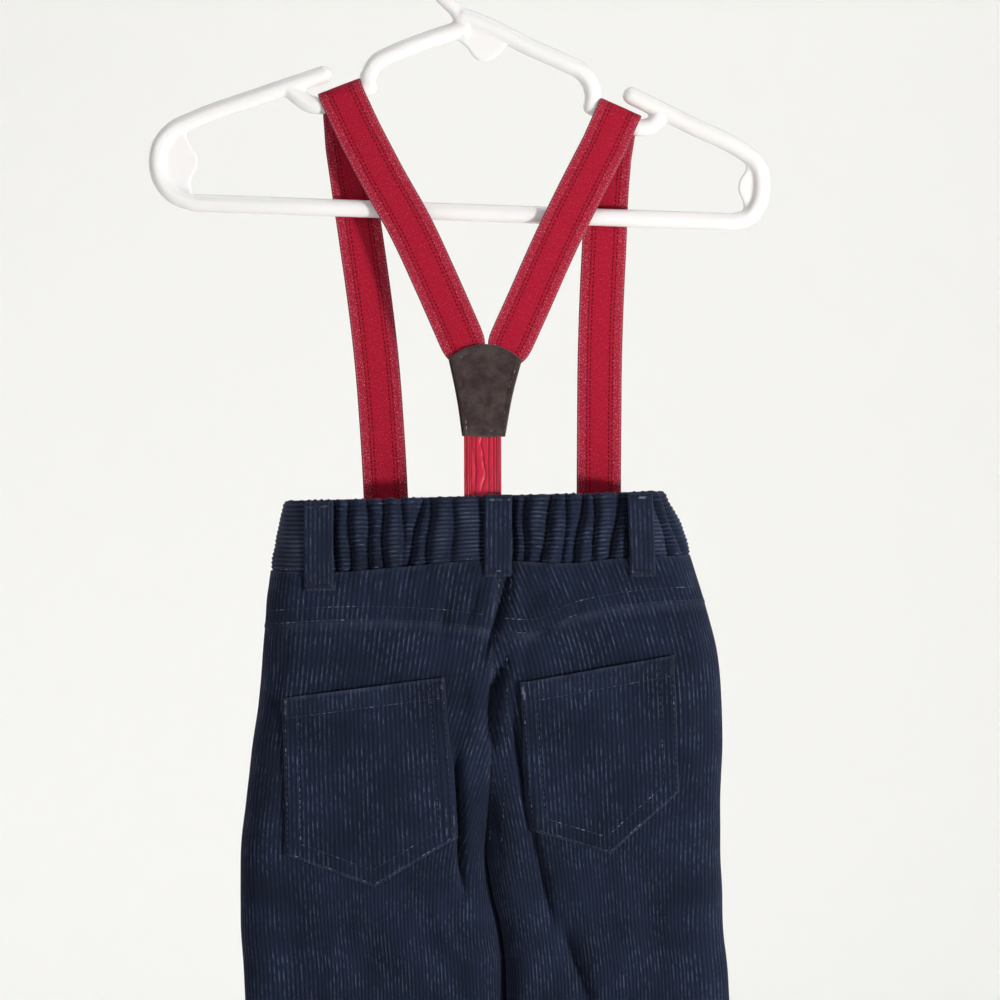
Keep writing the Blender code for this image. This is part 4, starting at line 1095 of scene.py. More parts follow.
def bar_tack(start, end, facing=-1.0, width=TACK_WIDTH):
    """Close stitches side by side across a short line."""
    start = np.array(start, float)
    end = np.array(end, float)
    run = (end - start) / np.linalg.norm(end - start)
    side = np.array([-run[1], run[0]]) * width / 2
    made = []
    for place in np.arange(0.0, np.linalg.norm(end - start), TACK_PITCH):
        middle = start + run * place
        y = touch(middle[0], middle[1], facing)
        if y is not None:
            y += facing * 0.12
            first, last = middle - side, middle + side
            made.append(Stitch((first[0], y, first[1]), (last[0], y, last[1])))
    return made


def thread_mesh(name, stitches, width, material):
    """Copies one small ball to every stitch, stretched from its start to its end."""
    ball = bmesh.new()
    bmesh.ops.create_uvsphere(ball, u_segments=6, v_segments=4, radius=0.5)
    corners = np.array([vertex.co[:] for vertex in ball.verts])
    faces = [[vertex.index for vertex in face.verts] for face in ball.faces]
    ball.free()
    start = np.array([stitch.start for stitch in stitches])
    run = np.array([stitch.end for stitch in stitches]) - start
    length = np.linalg.norm(run, axis=1, keepdims=True)
    out = np.cross(run / length, np.cross(np.array([0.0, 1.0, 0.0]), run / length))
    side = np.cross(run / length, out)
    points = (start[:, None] + run[:, None] * (corners[None, :, 2:] + 0.5)
              + (out[:, None] * corners[None, :, :1] + side[:, None] * corners[None, :, 1:2]) * width)
    mesh = bpy.data.meshes.new(name)
    mesh.from_pydata(points.reshape(-1, 3).tolist(), [],
                     [[number * len(corners) + corner for corner in face]
                      for number in range(len(stitches)) for face in faces])
    shape = bmesh.new()
    shape.from_mesh(mesh)
    bmesh.ops.recalc_face_normals(shape, faces=shape.faces[:])
    bpy.data.meshes.remove(mesh)
    print(name, len(stitches), "stitches")
    return finish_mesh(name, shape, material)


# %% Sewn rows
def inset_outline(corners, distance):
    """The pocket's open outline, from mouth to mouth, moved inward."""
    points = [np.array(corners[i], float) for i in (0, 4, 3, 2, 1)]
    centre = sum(points) / len(points)
    lines = []
    for start, end in zip(points, points[1:]):
        run = (end - start) / np.linalg.norm(end - start)
        side = np.array([-run[1], run[0]])
        if (centre - start) @ side < 0:
            side = -side
        lines.append((start + side * distance, run))
    lines.insert(0, (points[0], (points[-1] - points[0]) / np.linalg.norm(points[-1] - points[0])))
    lines.append(lines[0])
    spots = []
    for (first, along), (second, beyond) in zip(lines, lines[1:]):
        share = np.linalg.solve(np.stack([along, -beyond], axis=1), second - first)[0]
        spots.append(first + along * share)
    return spots


def seam_route(rows, offset, low, high, spacing=4.0):
    """A route along a seam line, moved up or down by an offset."""
    x = np.arange(low, high, spacing)
    return list(zip(x, level(rows, x) + offset))


def centre_route(offset, top, foot):
    """A route down the centre-back seam, moved to its right."""
    z = np.arange(top, foot, -5.0)
    return list(zip(section_value("right_in", z) + offset, z))


def sew_back():
    """Every row of stitches and every bar tack that shows on the back."""
    under_loops = [(loop.x_foot - loop.width / 2 - 0.5, loop.x_foot + loop.width / 2 + 0.5) for loop in LOOPS]
    made = stitch_row(seam_route(WAIST_SEAM, 1.3, -99.0, 112.0), skip=under_loops)
    for offset in (1.4, 8.0):
        made += stitch_row(seam_route(YOKE_SEAM, offset, -101.0, 10.5))
        made += stitch_row(seam_route(YOKE_SEAM, offset, 14.0, 119.0))
    for offset in (1.5, 7.5):
        made += stitch_row(centre_route(offset, -331.0, -352.0))
        made += stitch_row(centre_route(offset, -362.0, -470.0))
    for corners in POCKETS.values():
        for offset in (POCKET_EDGE, POCKET_SECOND_ROW):
            spots = inset_outline(corners, offset)
            for start, end in zip(spots, spots[1:]):
                made += stitch_row([start, (start + end) / 2, end])
        mouth = [np.array(corners[0], float), np.array(corners[1], float)]
        drop = np.array([0.0, -POCKET_HEM * 1.01])
        inward = (mouth[1] - mouth[0]) / np.linalg.norm(mouth[1] - mouth[0])
        made += stitch_row([mouth[0] + drop + inward, sum(mouth) / 2 + drop, mouth[1] + drop - inward])
        for corner, foot in ((corners[0], corners[4]), (corners[1], corners[2])):
            down = np.array(foot, float) - np.array(corner, float)
            down /= np.linalg.norm(down)
            side = inward if corner is corners[0] else -inward
            start = np.array(corner, float) + side * 1.5 + down * 0.8
            made += bar_tack(start, start + down * 9.0)
    for loop in LOOPS:
        for place, x in ((loop.foot + 2.6, loop.x_foot), (loop.top - 2.8, loop.x_top)):
            made += bar_tack((x - loop.width / 2 + 0.8, place), (x + loop.width / 2 - 0.8, place), width=1.5)
    return made


HEM_ROWS = [[(x, -728.0) for x in (-106.0, -60.0, 4.0)], [(x, -728.0) for x in (28.0, 80.0, 132.0)]]
back_stitches = sew_back()
front_stitches = stitch_row(seam_route(WAIST_SEAM, 1.3, -99.0, 112.0), facing=1.0)
for row in HEM_ROWS:
    back_stitches += stitch_row(row)
    front_stitches += stitch_row(row, facing=1.0)
thread = make_thread("navy polyester thread", "#171c2c", "#747b92")
for name, stitches in (("stitches_back", back_stitches), ("stitches_front", front_stitches)):
    thread_mesh(name, stitches, THREAD, thread)

# %% [markdown]
# ## Suspenders
# The suspenders are woven elastic, 23 mm wide. Each runs from inside the front of the band, up behind the
# hanger, over a notch and down to the patch at the back. Their pattern is woven in, so it follows the strap:
# every point keeps its distance across and along the webbing, and the material draws the stripes from those.

# %% Webbing material
STRAP_WIDTH = 22.6
WEFT = 0.9
# Where each pair of dark lines runs, from the middle of the strap, and the pitch of its dashes.
DARK_LINES = [(6.5, 2.0), (4.8, 2.2)]


def stripes(tree, across, middle, half, soft):
    """1 on a pair of stripes, one on either side of the middle of the strap."""
    away = add_node(tree, "Math", {"operation": "ABSOLUTE"}, {0: across}).outputs[0]
    past = add_node(tree, "Math", {"operation": "SUBTRACT"}, {0: away, 1: middle}).outputs[0]
    off = add_node(tree, "Math", {"operation": "ABSOLUTE"}, {0: past}).outputs[0]
    return add_node(tree, "MapRange", SMOOTH, {"Value": off, "From Min": half - soft, "From Max": half + soft,
                                              "To Min": 1.0, "To Max": 0.0}).outputs[0]


def waves(tree, place, pitch):
    """A sine wave with a pitch in millimetres, from -1 to 1."""
    turn = add_node(tree, "Math", TIMES, {0: place, 1: 2 * math.pi / pitch}).outputs[0]
    return add_node(tree, "Math", {"operation": "SINE"}, {0: turn}).outputs[0]


def dashed(tree, stripe, along, pitch, share, soft):
    """A stripe that is broken into dashes, each a share of the pitch."""
    edge = math.cos(math.pi * share)
    dash = add_node(tree, "MapRange", SMOOTH, {"Value": waves(tree, along, pitch), "From Min": edge - soft,
                                              "From Max": edge + soft}).outputs[0]
    return add_node(tree, "Math", TIMES, {0: stripe, 1: dash}).outputs[0]


def make_webbing():
    """Woven polyester elastic, red with a dark dashed pair of lines on each side of a plain middle."""
    material, tree, shader = new_material("red woven elastic", 0.75, 0.12)
    grain, across, along, _, _ = read_cloth(tree)
    mottle = stretched_noise(tree, grain, 1.3, 0.7, 3.0)
    middle = add_node(tree, "Mix", RGBA, {0: mottle, 6: linear("#940a26"), 7: linear("#b51735")}).outputs[2]
    border = add_node(tree, "Mix", RGBA, {0: mottle, 6: linear("#90142d"), 7: linear("#b1263f")}).outputs[2]
    margin = stripes(tree, across, 9.1, 2.1, 0.3)
    colour = add_node(tree, "Mix", RGBA, {0: margin, 6: middle, 7: border}).outputs[2]
    selvedge = stripes(tree, across, 11.1, 0.5, 0.3)
    colour = add_node(tree, "Mix", RGBA, {0: selvedge, 6: colour, 7: linear("#8d3a48")}).outputs[2]
    for place, pitch in DARK_LINES:
        line = dashed(tree, stripes(tree, across, place, 0.3, 0.22), along, pitch, 0.64, 0.4)
        share = add_node(tree, "Math", TIMES, {0: line, 1: 0.95}).outputs[0]
        colour = add_node(tree, "Mix", RGBA, {0: share, 6: colour, 7: linear("#4a0410")}).outputs[2]

    # Cut fibres show pale, most of all on the borders, and a row of pale picks runs beside the selvedge.
    fibres = stretched_noise(tree, grain, 2.6, 1.1, 1.0)
    flecks = add_node(tree, "MapRange", SMOOTH,
                      {"Value": fibres, "From Min": 0.6, "From Max": 0.76}).outputs[0]
    borders = stripes(tree, across, 9.1, 2.4, 0.4)
    where = add_node(tree, "Math", {"operation": "ADD"}, {0: borders, 1: 0.3}).outputs[0]
    pale = add_node(tree, "Math", TIMES, {0: flecks, 1: where}).outputs[0]
    colour = add_node(tree, "Mix", RGBA, {0: pale, 6: colour, 7: linear("#dd8d98")}).outputs[2]
    picks = dashed(tree, stripes(tree, across, 10.4, 0.24, 0.2), along, 1.7, 0.4, 0.3)
    faint = add_node(tree, "Math", TIMES, {0: picks, 1: 0.45}).outputs[0]
    colour = add_node(tree, "Mix", RGBA, {0: faint, 6: colour, 7: linear("#cf9098")}).outputs[2]
    tree.links.new(colour, shader.inputs["Base Color"])

    warp, weft = [waves(tree, way, WEFT) for way in (across, along)]
    weave = add_node(tree, "Math", TIMES, {0: warp, 1: weft}).outputs[0]
    lumps = add_node(tree, "Math", {"operation": "ADD"}, {0: weave, 1: mottle}).outputs[0]
    bump = add_node(tree, "Bump", inputs={"Height": lumps, "Strength": 0.45, "Distance": 0.0003})
    tree.links.new(bump.outputs[0], shader.inputs["Normal"])
    return material


def make_short_elastic():
    """Ribbed satin elastic: a smoother yarn, so it shines a little."""
    material, tree, shader = new_material("red ribbed satin elastic", 0.34, 0.3)
    grain, _, _, rib, wear = read_cloth(tree)
    mottle = stretched_noise(tree, grain, 0.7, 0.16, 2.0)
    ground = add_node(tree, "Mix", RGBA, {0: mottle, 6: linear("#a4082a"), 7: linear("#d2163e")}).outputs[2]
    # Painted shade: the grooves between the ribs are painted darker.
    colour = add_node(tree, "Mix", RGBA, {0: rib, 6: linear("#7d081f"), 7: ground}).outputs[2]
    # Painted highlight, partly rubbing: pale patches along the ridges of the slack wrinkles and the edges.
    patchy = add_node(tree, "MapRange", SMOOTH,
                      {"Value": mottle, "From Min": 0.34, "From Max": 0.6}).outputs[0]
    highlight_and_rubbing = add_node(tree, "Math", TIMES, {0: wear, 1: patchy}).outputs[0]
    colour = add_node(tree, "Mix", RGBA, {0: highlight_and_rubbing, 6: colour, 7: linear("#f0808f")}).outputs[2]
    tree.links.new(colour, shader.inputs["Base Color"])
    threads = stretched_noise(tree, grain, 3.0, 0.5, 2.0)
    bump = add_node(tree, "Bump", inputs={"Height": threads, "Strength": 0.5, "Distance": 0.0004})
    tree.links.new(bump.outputs[0], shader.inputs["Normal"])
    return material


webbing = make_webbing()
short_elastic = make_short_elastic()
print("finishes:", webbing.name, "and", short_elastic.name)

# %% Strap routes
BAR_DIAMETER = 8.8
STRAP_CLOTH = 1.4
Station = namedtuple("Station", "x y z lean")
Notch = namedtuple("Notch", "x z lean")
STRAPS = {
    "left": dict(
        notch=Notch(-63.6, -94.7, 20.5),
        front=[Station(-41.0, 15.5, -322.0, 4.0), Station(-42.2, 15.5, -292.0, 4.0),
               Station(-44.3, 14.2, -256.0, 5.0), Station(-46.7, 12.6, -226.0, 6.0),
               Station(-50.2, 11.0, -196.0, 7.5), Station(-54.4, 9.0, -166.0, 8.5),
               Station(-58.2, 7.4, -140.0, 10.5), Station(-61.4, 6.0, -118.0, 14.0)],
        back=[Station(-55.5, -6.0, -112.0, 26.0), Station(-44.0, -7.4, -134.0, 27.5),
              Station(-30.0, -8.8, -159.0, 26.0), Station(-16.0, -10.6, -189.0, 24.5),
              Station(-5.0, -12.7, -214.0, 24.0), Station(1.5, -13.8, -229.0, 24.0)]),
    "right": dict(
        notch=Notch(73.2, -104.9, -24.5),
        front=[Station(64.3, 15.5, -322.0, -2.0), Station(64.4, 15.5, -290.0, -2.0),
               Station(64.6, 13.8, -256.0, -2.0), Station(64.9, 12.2, -226.0, -2.5),
               Station(65.8, 10.6, -196.0, -3.5), Station(67.2, 8.6, -166.0, -5.0),
               Station(68.1, 7.0, -143.0, -7.0), Station(69.7, 5.8, -124.0, -12.0)],
        back=[Station(66.8, -5.8, -119.0, -26.0), Station(53.0, -7.2, -146.0, -26.5),
              Station(41.0, -8.5, -171.0, -25.0), Station(29.0, -9.9, -198.0, -24.5),
              Station(19.5, -11.2, -219.0, -24.4), Station(14.8, -11.7, -229.5, -24.4)]),
}
SHORT_STRAP = [Station(6.2, -13.4, -249.0, 0.0), Station(6.3, -14.4, -266.0, 0.0),
               Station(6.4, -16.2, -290.0, 0.0), Station(6.5, -16.6, -300.0, 0.0),
               Station(6.5, -16.6, -322.0, 0.0)]
SHORT_STRAP_WIDTH = 18.6
WEBBING_GROOVES = [side * place for side in (-1, 1) for place, _ in DARK_LINES]
ELASTIC_GROOVES = [-8.0, -6.7, -5.8, -3.6, 2.9, 5.4, 6.8, 8.0]
GROOVE_WIDTH = 0.32
STRAP_STEP = 2.0
STRAP_COLUMNS = 89
STRAP_EDGE = 0.8
TUCK_LENGTH = 7.0
BAR_WRAP_POINTS = 17


def as_seen(places):
    """Moves places measured in the photo outward, so that they look the same from their own depth."""
    eye = np.array(FRAME_MIDDLE) / MM
    grown = 1 + (places[..., 1:2] - eye[1]) / (CAMERA_DISTANCE / MM)
    moved = eye + (places - eye) * grown
    moved[..., 1] = places[..., 1]
    return moved


def strap_stations(strap):
    """The strap's middle line from the front waistband, over the notch, to the back patch."""
    notch = strap["notch"]
    front, back = [np.array(strap[half], float) for half in ("front", "back")]
    for half in (front, back):
        half[:, :3] = as_seen(half[:, :3])
    lean = math.radians(notch.lean)
    up = np.array([-math.sin(lean), 0.0, math.cos(lean)])
    reach = BAR_DIAMETER / 2 + SEAM_GAP + STRAP_CLOTH / 2
    centre = as_seen(np.array([notch.x, 0.0, notch.z]))
    over_bar = []
    for turn in np.radians(np.linspace(0.0, 180.0, BAR_WRAP_POINTS)):
        spot = centre + reach * (math.cos(turn) * np.array([0.0, 1.0, 0.0]) + math.sin(turn) * up)
        over_bar.append((*spot, notch.lean))
    return np.concatenate([smooth_route(front, STRAP_STEP), over_bar, smooth_route(back, STRAP_STEP)])


def strap(name, node, stations, width, grooves, groove_depth, material, wrinkle, tuck=0.0, highlight_and_rubbing=0.0):
    """A strap with lengthwise grooves. Its last few millimetres are tucked narrower under the patch."""
    stations = np.asarray(stations, float)
    along = run_along(stations[:, :3])
    lean = np.radians(stations[:, 3])
    side = np.stack([np.cos(lean), np.zeros_like(lean), np.sin(lean)], axis=-1)
    normal = np.cross(side, np.gradient(stations[:, :3], axis=0))
    normal /= np.linalg.norm(normal, axis=-1, keepdims=True)
    across = np.linspace(-width / 2, width / 2, STRAP_COLUMNS)
    narrow = 1.0 - tuck * np.exp(-(((along[-1] - along) / TUCK_LENGTH) ** 2))
    middle = stations[:, None, :3] + side[:, None] * (narrow[:, None] * across)[..., None]
    raised = wrinkle(across[None, :], along[:, None])
    middle = middle + normal[:, None] * raised[..., None]
    rib = 1.0 - sum(np.exp(-(((across - groove) / GROOVE_WIDTH) ** 2)) for groove in grooves)
    edge = round_share(width / 2 - np.abs(across), STRAP_EDGE)
    half = (STRAP_CLOTH / 2 - groove_depth * (1 - rib)) * (0.35 + 0.65 * edge)
    lift = normal[:, None] * half[None, :, None]
    grain = stack_points(across[None, :], along[:, None], rib[None, :])
    # Painted highlight, partly rubbing: the raised wrinkle ridges are marked to be painted paler.
    wear = highlight_and_rubbing * np.clip(raised - 0.3, 0.0, 1.0)
    piece = cloth_wall(name, middle + lift, middle - lift, grain, wear, material)
    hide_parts(node)
    cloth_pieces[name] = Patterned(piece, (width * MM, along[-1] * MM), width * along[-1] * MM * MM)
    print(name, round(along[-1]), "mm long")


def strap_bow(across, along):
    """A long strap cups and twists a little."""
    return 0.25 * np.sin(along / 23.0) * across / STRAP_WIDTH + 0.2 * (across / STRAP_WIDTH) ** 2


def elastic_wrinkle(across, along):
    """Two slack wrinkles that run down the short elastic, with a shallow dip between them."""
    off = across - 0.9 * np.sin(along / 4.2) - 0.3 * np.sin(along / 1.7)
    ridge = np.exp(-((off / 0.55) ** 2)) + 0.5 * np.exp(-((off + 4.6) ** 2))
    ridge = ridge + 0.45 * np.exp(-(((np.abs(across) - 8.7) / 0.4) ** 2))
    return ridge * np.exp(-(((along - 29.0) / 13.0) ** 2))


for side, made in STRAPS.items():
    strap("strap_webbing_" + side, "strap_" + side, strap_stations(made), STRAP_WIDTH, WEBBING_GROOVES, 0.12,
          webbing, strap_bow, tuck=0.42)
strap("strap_elastic_short", "strap_short", smooth_route(SHORT_STRAP, 0.8), SHORT_STRAP_WIDTH,
      ELASTIC_GROOVES, 0.3, short_elastic, elastic_wrinkle, highlight_and_rubbing=0.9)

# %% [markdown]
# ## Suede patch
# The strap ends are sewn between two layers of suede, cut to a shield. Suede has no surface shine at all: its
# short nap catches light by the way it lies, in cloudy patches, and a cut edge shows the paler fibres inside.
# A layer is a grid stretched between its four curved sides, with rounded edges.

# %% Suede
PATCH_TOP = [(-10.0, -224.5), (-1.5, -219.8), (8.0, -218.2), (17.5, -220.4), (26.0, -226.0)]
PATCH_RIGHT = [(26.0, -226.0), (21.5, -243.0), (17.6, -264.4)]
PATCH_FOOT = [(-3.0, -264.0), (7.0, -264.6), (17.6, -264.4)]
PATCH_LEFT = [(-10.0, -224.5), (-5.4, -247.0), (-3.0, -264.0)]
PATCH_TOP_Z = -218.0
PATCH_FOOT_Z = -264.0
PATCH_MEAN_WIDTH = 27.0
PATCH_LENGTH = 44.0
PATCH_CUT = (0.036, 0.047)
PATCH_STITCH_INSET = 3.0
PATCH_STITCH = 2.0
PATCH_STITCH_PITCH = 2.7
PATCH_MIDDLE = (7.5, -242.0)
PATCH_THREAD = 0.42
SUEDE = 1.5
SUEDE_GRID = 56
SUEDE_EDGE = 0.9
Layer = namedtuple("Layer", "name top_y foot_y outward shift")
PATCH_LAYERS = [Layer("outer", -14.75, -15.35, -1.0, 0.0), Layer("inner", -9.9, -13.0, 1.0, -1.0)]


def make_suede():
    """Split cowhide, dyed brown and buffed to a nap."""
    material, tree, shader = new_material("brown suede", 0.95, 0.08)
    clouds = object_noise(tree, 120.0, 5.0, 0.6)
    nap = object_noise(tree, 1500.0, 3.0, 0.7)
    wear = add_node(tree, "Attribute", {"attribute_name": "wear"}).outputs["Fac"]
    lies = add_node(tree, "MapRange", SMOOTH,
                    {"Value": clouds, "From Min": 0.32, "From Max": 0.68}).outputs[0]
    colour = add_node(tree, "Mix", RGBA, {0: lies, 6: linear("#35292b"), 7: linear("#4c4341")}).outputs[2]
    fine = add_node(tree, "MapRange", inputs={"Value": nap, "To Min": 0.7, "To Max": 1.3}).outputs[0]
    tinted = add_node(tree, "VectorMath", {"operation": "SCALE"}, {0: colour, "Scale": fine}).outputs[0]
    edged = add_node(tree, "Mix", RGBA, {0: wear, 6: tinted, 7: linear("#5c4e4f")}).outputs[2]
    tree.links.new(edged, shader.inputs["Base Color"])
    bump = add_node(tree, "Bump", inputs={"Height": nap, "Strength": 0.9, "Distance": 0.0006})
    tree.links.new(bump.outputs[0], shader.inputs["Normal"])
    shader.inputs["Sheen Weight"].default_value = 0.2
    shader.inputs["Sheen Roughness"].default_value = 0.5
    shader.inputs["Sheen Tint"].default_value = linear("#a89c9e")
    return material


def evenly(points, count):
    """A number of points at equal steps along a smooth curve."""
    fine = smooth_route(points, 0.05)
    return fine[np.linspace(0, len(fine) - 1, count).astype(int)]


def suede_layer(layer):
    """A grid between four curved sides: each way across it, plus each way down, less the four corners."""
    top, foot = evenly(PATCH_TOP, SUEDE_GRID), evenly(PATCH_FOOT, SUEDE_GRID)
    left, right = evenly(PATCH_LEFT, SUEDE_GRID), evenly(PATCH_RIGHT, SUEDE_GRID)
    s = np.linspace(0.0, 1.0, SUEDE_GRID)[None, :, None]
    t = np.linspace(0.0, 1.0, SUEDE_GRID)[:, None, None]
    flat = (1 - t) * top[None] + t * foot[None] + (1 - s) * left[:, None] + s * right[:, None]
    flat = flat - (1 - t) * ((1 - s) * top[0] + s * top[-1]) - t * ((1 - s) * foot[0] + s * foot[-1])
    x, z = flat[..., 0], flat[..., 1]
    slope = (layer.foot_y - layer.top_y) / (PATCH_FOOT_Z - PATCH_TOP_Z)
    y = layer.top_y + (z - PATCH_TOP_Z) * slope
    from_side = np.minimum(s, 1 - s)[..., 0] * PATCH_MEAN_WIDTH
    from_end = np.minimum(t, 1 - t)[..., 0] * PATCH_LENGTH
    from_edge = np.minimum(from_side, from_end)
    roll = 1 - round_share(from_edge, SUEDE_EDGE)
    dent = 0.3 * np.exp(-(((from_edge - PATCH_STITCH_INSET) / 0.7) ** 2))
    thick = SUEDE * (1 - 0.45 * roll) - dent + 0.22 * ripple(x, z, 13.0, 0.5) * (1 - roll)
    inner = stack_points(x + layer.shift, y, z)
    outer = stack_points(x + layer.shift, y + layer.outward * thick, z)
    name = "suede_patch_" + layer.name
    piece = cloth_wall(name, outer, inner, stack_points(x, z, 0.5), 0.8 * roll, suede)
    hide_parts("patch_" + layer.name)
    cloth_pieces[name] = Patterned(piece, PATCH_CUT, grid_area(inner) * MM * MM)
    return piece


suede = make_suede()
patches = [suede_layer(layer) for layer in PATCH_LAYERS]


def sew_patch():
    """One row of stitches just inside the patch's edge, on its outer face."""
    tree = search_tree(patches[0])
    middle = np.array(PATCH_MIDDLE)
    made = []
    for outline in (PATCH_TOP, PATCH_RIGHT, PATCH_FOOT, PATCH_LEFT):
        route = smooth_route(outline, 1.0)
        away = np.linalg.norm(route - middle, axis=1, keepdims=True)
        route = middle + (route - middle) * (1 - PATCH_STITCH_INSET / away)
        along = run_along(route)
        for begin in np.arange(0.6, along[-1] - PATCH_STITCH, PATCH_STITCH_PITCH):
            ends = [(np.interp(place, along, route[:, 0]), BEHIND, np.interp(place, along, route[:, 1]))
                    for place in (begin, begin + PATCH_STITCH)]
            hits = [tree.ray_cast(Vector(end), Vector((0.0, 1.0, 0.0)))[0] for end in ends]
            if None not in hits:
                made.append(Stitch(*[tuple(hit + Vector((0.0, -0.08, 0.0))) for hit in hits]))
    return made


brown_thread = make_thread("brown polyester thread", "#352b2c", "#a39694")
thread_mesh("stitches_patch", sew_patch(), PATCH_THREAD, brown_thread)

# %% [markdown]
# ## Hanger
# A moulded hanger is one shot of plastic, so its bars flow into each other with small fillets. Bars and
# plates are made apart, laid into one mesh, and a fine voxel remesh fuses them; smoothing then rounds the
# corners where they meet, as a mould maker's cutter would.

# %% Hanger routes
LEFT_FRAME = [(-73.2, -83.3), (-107.6, -94.9), (-138.8, -106.2), (-148.6, -111.0),
              (-154.6, -117.8), (-156.4, -126.2), (-154.4, -135.8), (-148.2, -143.4), (-138.0, -147.4)]
RIGHT_FRAME = [(80.6, -93.9), (110.3, -108.6), (136.0, -121.4), (142.2, -126.2), (145.4, -132.6),
               (145.8, -140.4), (144.2, -148.2), (139.4, -154.6), (131.0, -157.0)]
LEFT_SADDLE_ROOT = [(-90.0, -90.4), (-85.6, -94.4), (-80.6, -97.9)]
LEFT_INNER_BAR = [(-51.0, -84.0), (-47.0, -77.4), (-38.4, -72.8), (-20.0, -65.6), (-4.0, -60.4)]
RIGHT_SADDLE_ROOT = [(95.5, -101.6), (93.8, -105.6), (90.0, -109.2)]
RIGHT_INNER_BAR = [(61.6, -94.0), (60.4, -88.0), (56.6, -82.6), (46.4, -77.0), (29.0, -69.2),
                   (10.0, -59.6), (-3.0, -54.4)]
SADDLE_REACH = 12.4
ELBOW_SHARE = 0.2
STEM = [(-11.6, -45.0), (-6.6, -50.4), (-4.4, -55.6), (-2.6, -61.0)]
HOOK_RADIUS = 25.0
HOOK_DIAMETER = 7.2
HOOK_TIP_ANGLE = -25.0
HOOK_STEM_ANGLE = 225.0
NECK_OUTLINE = [(-11.0, -64.0), (-5.5, -66.6), (-1.6, -69.8), (1.6, -74.2), (5.0, -76.6),
                (9.4, -76.6), (13.2, -74.2), (17.6, -69.4), (18.0, -62.8), (4.0, -55.0), (-5.0, -55.0)]
LEFT_END_OUTLINE = [(-141.0, -109.0), (-141.8, -113.4), (-140.4, -117.4), (-136.6, -123.4),
                    (-136.2, -129.4), (-139.2, -135.0), (-139.4, -140.6), (-136.4, -146.6),
                    (-148.2, -143.4), (-154.4, -135.8), (-156.4, -126.2), (-154.6, -117.8),
                    (-148.6, -111.0)]
RIGHT_END_OUTLINE = [(138.0, -125.0), (137.8, -131.0), (134.6, -136.4), (134.2, -141.4),
                     (136.6, -147.4), (136.2, -152.0), (133.4, -156.0), (139.4, -154.6),
                     (144.2, -148.2), (145.8, -140.4), (145.4, -132.6), (142.2, -126.2)]
END_PLATE = 2.6
NECK_PLATE = 4.2
BAR_SIDES = 28
TIP_RINGS = [(0.26, 0.966), (0.5, 0.866), (0.71, 0.704), (0.87, 0.5), (0.97, 0.25)]
HANGER_VOXEL = 0.8
FILLET_ROUNDS = 5
ROUTE_STEP = 3.0


def add_bar(shape, route, diameter=BAR_DIAMETER):
    """A round bar along a route in the hanger's plane, with rounded tips."""
    route = np.asarray(route, float)
    run = np.gradient(route, axis=0)
    run /= np.linalg.norm(run, axis=1, keepdims=True)
    radius = diameter / 2
    stations = [(spot, heading, radius) for spot, heading in zip(route, run)]
    for reach, size in TIP_RINGS:
        stations.insert(0, (route[0] - run[0] * radius * reach, run[0], radius * size))
        stations.append((route[-1] + run[-1] * radius * reach, run[-1], radius * size))
    rings = []
    for spot, heading, size in stations:
        ring = bmesh.ops.create_circle(shape, segments=BAR_SIDES, radius=size)["verts"]
        sideways = Vector((-heading[1], 0.0, heading[0]))
        for vertex in ring:
            u, v = vertex.co.x, vertex.co.y
            vertex.co = Vector((spot[0], v, spot[1])) + sideways * u
        rings.append(ring)
    for first, second in zip(rings, rings[1:]):
        for k in range(BAR_SIDES):
            n = (k + 1) % BAR_SIDES
            shape.faces.new((first[k], first[n], second[n], second[k]))
    shape.faces.new(rings[0])
    shape.faces.new(rings[-1])


def add_plate(shape, outline, thickness):
    """A flat plate with its outline smoothed."""
    closed = np.array(outline + outline[:1], float)
    smooth = smooth_route(closed, 1.2)[:-1]
    corners = [shape.verts.new((x, -thickness / 2, z)) for x, z in smooth]
    sheet = shape.faces.new(corners)
    grown = bmesh.ops.extrude_face_region(shape, geom=[sheet])
    moved = [piece for piece in grown["geom"] if isinstance(piece, bmesh.types.BMVert)]
    bmesh.ops.translate(shape, verts=moved, vec=(0.0, thickness, 0.0))


def saddle_route(root, notch, inner_bar):
    """The bottom of a notch: straight where the strap lies on it."""
    lean = math.radians(notch.lean)
    toward = math.copysign(1.0, inner_bar[0][0] - root[0][0])
    along = np.array([math.cos(lean), math.sin(lean)]) * toward
    middle = np.array([notch.x, notch.z])
    straight = [tuple(middle + along * SADDLE_REACH * share) for share in (-1.0, -0.5, 0.0, 0.5, 1.0)]
    return np.concatenate([smooth_route(root + straight[:1], 2.0)[:-1], straight])


def hook_route():
    """From the open tip of the hook, round over the top and down its stem."""
    centre = np.array([0.0, HOOK_DIAMETER / 2 - HOOK_RADIUS])
    turns = np.radians(np.linspace(HOOK_TIP_ANGLE, HOOK_STEM_ANGLE, 60))
    arc = [tuple(centre + HOOK_RADIUS * np.array([math.cos(t), math.sin(t)])) for t in turns]
    return arc + [tuple(spot) for spot in smooth_route(STEM, 2.0)]


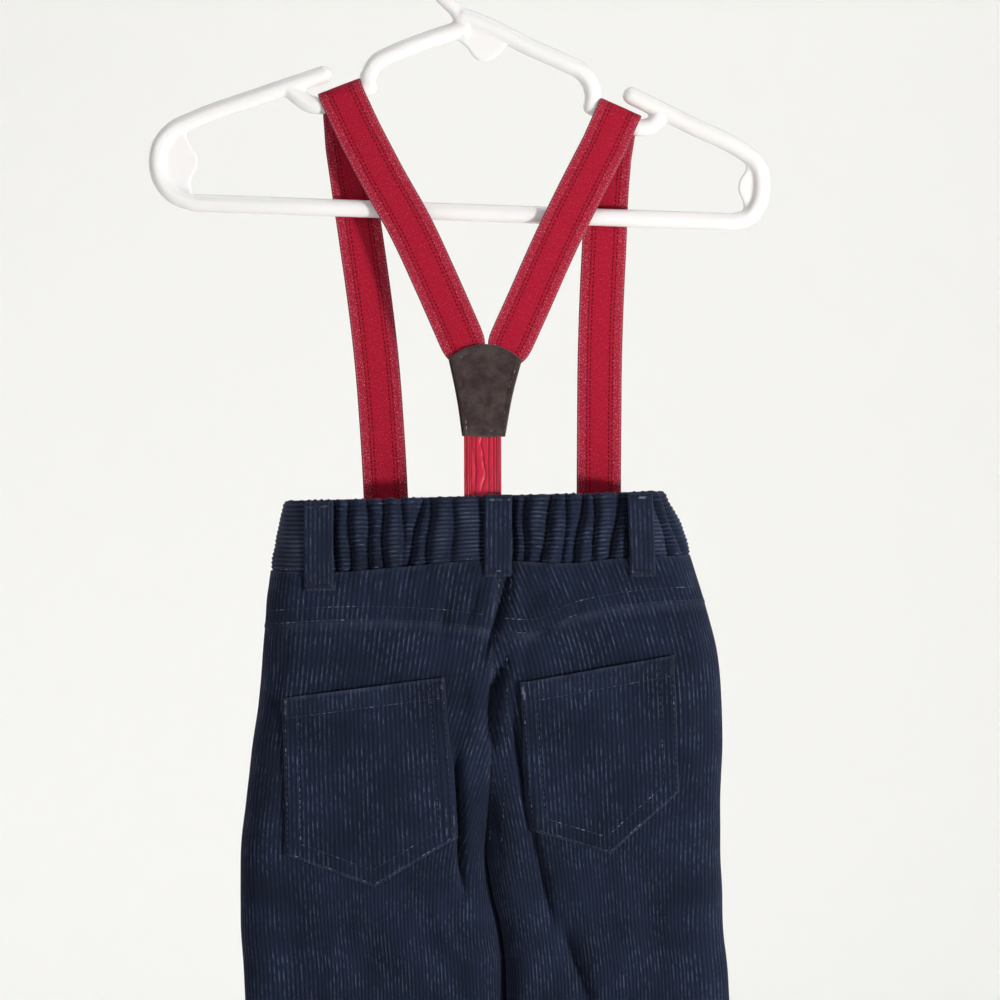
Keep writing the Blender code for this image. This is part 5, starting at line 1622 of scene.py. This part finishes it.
# %% Hanger plastic
def make_plastic():
    """Injection-moulded polystyrene, white and polished by the mould, with faint flow marks."""
    material, tree, shader = new_material("white moulded polystyrene", 0.22, 0.5)
    shader.inputs["IOR"].default_value = 1.55
    shader.inputs["Subsurface Weight"].default_value = 0.15
    shader.inputs["Subsurface Scale"].default_value = 0.004
    flow = object_noise(tree, 22.0, 2.0)
    skin = object_noise(tree, 160.0, 2.0)
    colour = add_node(tree, "Mix", RGBA, {0: flow, 6: linear("#e9e9ea"), 7: linear("#f7f7f8")})
    tree.links.new(colour.outputs[2], shader.inputs["Base Color"])
    bump = add_node(tree, "Bump", inputs={"Height": skin, "Strength": 0.15, "Distance": 0.0004})
    tree.links.new(bump.outputs[0], shader.inputs["Normal"])
    return material


def make_hanger():
    """Fuses bars and plates. All but the hook is moved outward, to look as it does in the photo."""
    shape = bmesh.new()
    left_saddle = saddle_route(LEFT_SADDLE_ROOT, STRAPS["left"]["notch"], LEFT_INNER_BAR)
    right_saddle = saddle_route(RIGHT_SADDLE_ROOT, STRAPS["right"]["notch"], RIGHT_INNER_BAR)
    ends = [smooth_route(frame_half, ROUTE_STEP) for frame_half in (LEFT_FRAME, RIGHT_FRAME)]
    add_bar(shape, np.concatenate([ends[0], ends[1][::-1]]))
    for saddle, bar in ((left_saddle, LEFT_INNER_BAR), (right_saddle, RIGHT_INNER_BAR)):
        add_bar(shape, saddle)
        elbow = saddle[-1] + (saddle[-1] - saddle[-2]) * ELBOW_SHARE
        add_bar(shape, np.concatenate([elbow[None], smooth_route(bar, ROUTE_STEP)]))
    for outline, thickness in ((NECK_OUTLINE, NECK_PLATE), (LEFT_END_OUTLINE, END_PLATE),
                               (RIGHT_END_OUTLINE, END_PLATE)):
        add_plate(shape, outline, thickness)
    middle_places = as_seen(np.array([(vertex.co.x, 0.0, vertex.co.z) for vertex in shape.verts]))
    for vertex, place in zip(shape.verts, middle_places):
        vertex.co.x, vertex.co.z = place[0], place[2]
    add_bar(shape, hook_route(), HOOK_DIAMETER)
    bmesh.ops.recalc_face_normals(shape, faces=shape.faces[:])
    plastic = make_plastic()
    made = finish_mesh("hanger_moulding", shape, plastic)
    remesh = made.modifiers.new("fuse", "REMESH")
    remesh.mode = "VOXEL"
    remesh.voxel_size = HANGER_VOXEL * MM
    remesh.use_smooth_shade = True
    smooth = made.modifiers.new("fillets", "SMOOTH")
    smooth.factor = 0.5
    smooth.iterations = FILLET_ROUNDS
    graph = bpy.context.evaluated_depsgraph_get()
    fused = bpy.data.meshes.new_from_object(made.evaluated_get(graph))
    made.modifiers.clear()
    made.data = fused
    fused.materials.clear()
    fused.materials.append(plastic)
    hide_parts("hanger")
    return made


hanger = make_hanger()
print("hanger:", len(hanger.data.polygons), "faces")

# %% [markdown]
# Every cloth piece says the size that it was cut to, and the last lines print those sizes.

# %% Cut sizes
for name, made in cloth_pieces.items():
    print(name, "cut", [round(side * 1000) for side in made.flat], "mm")
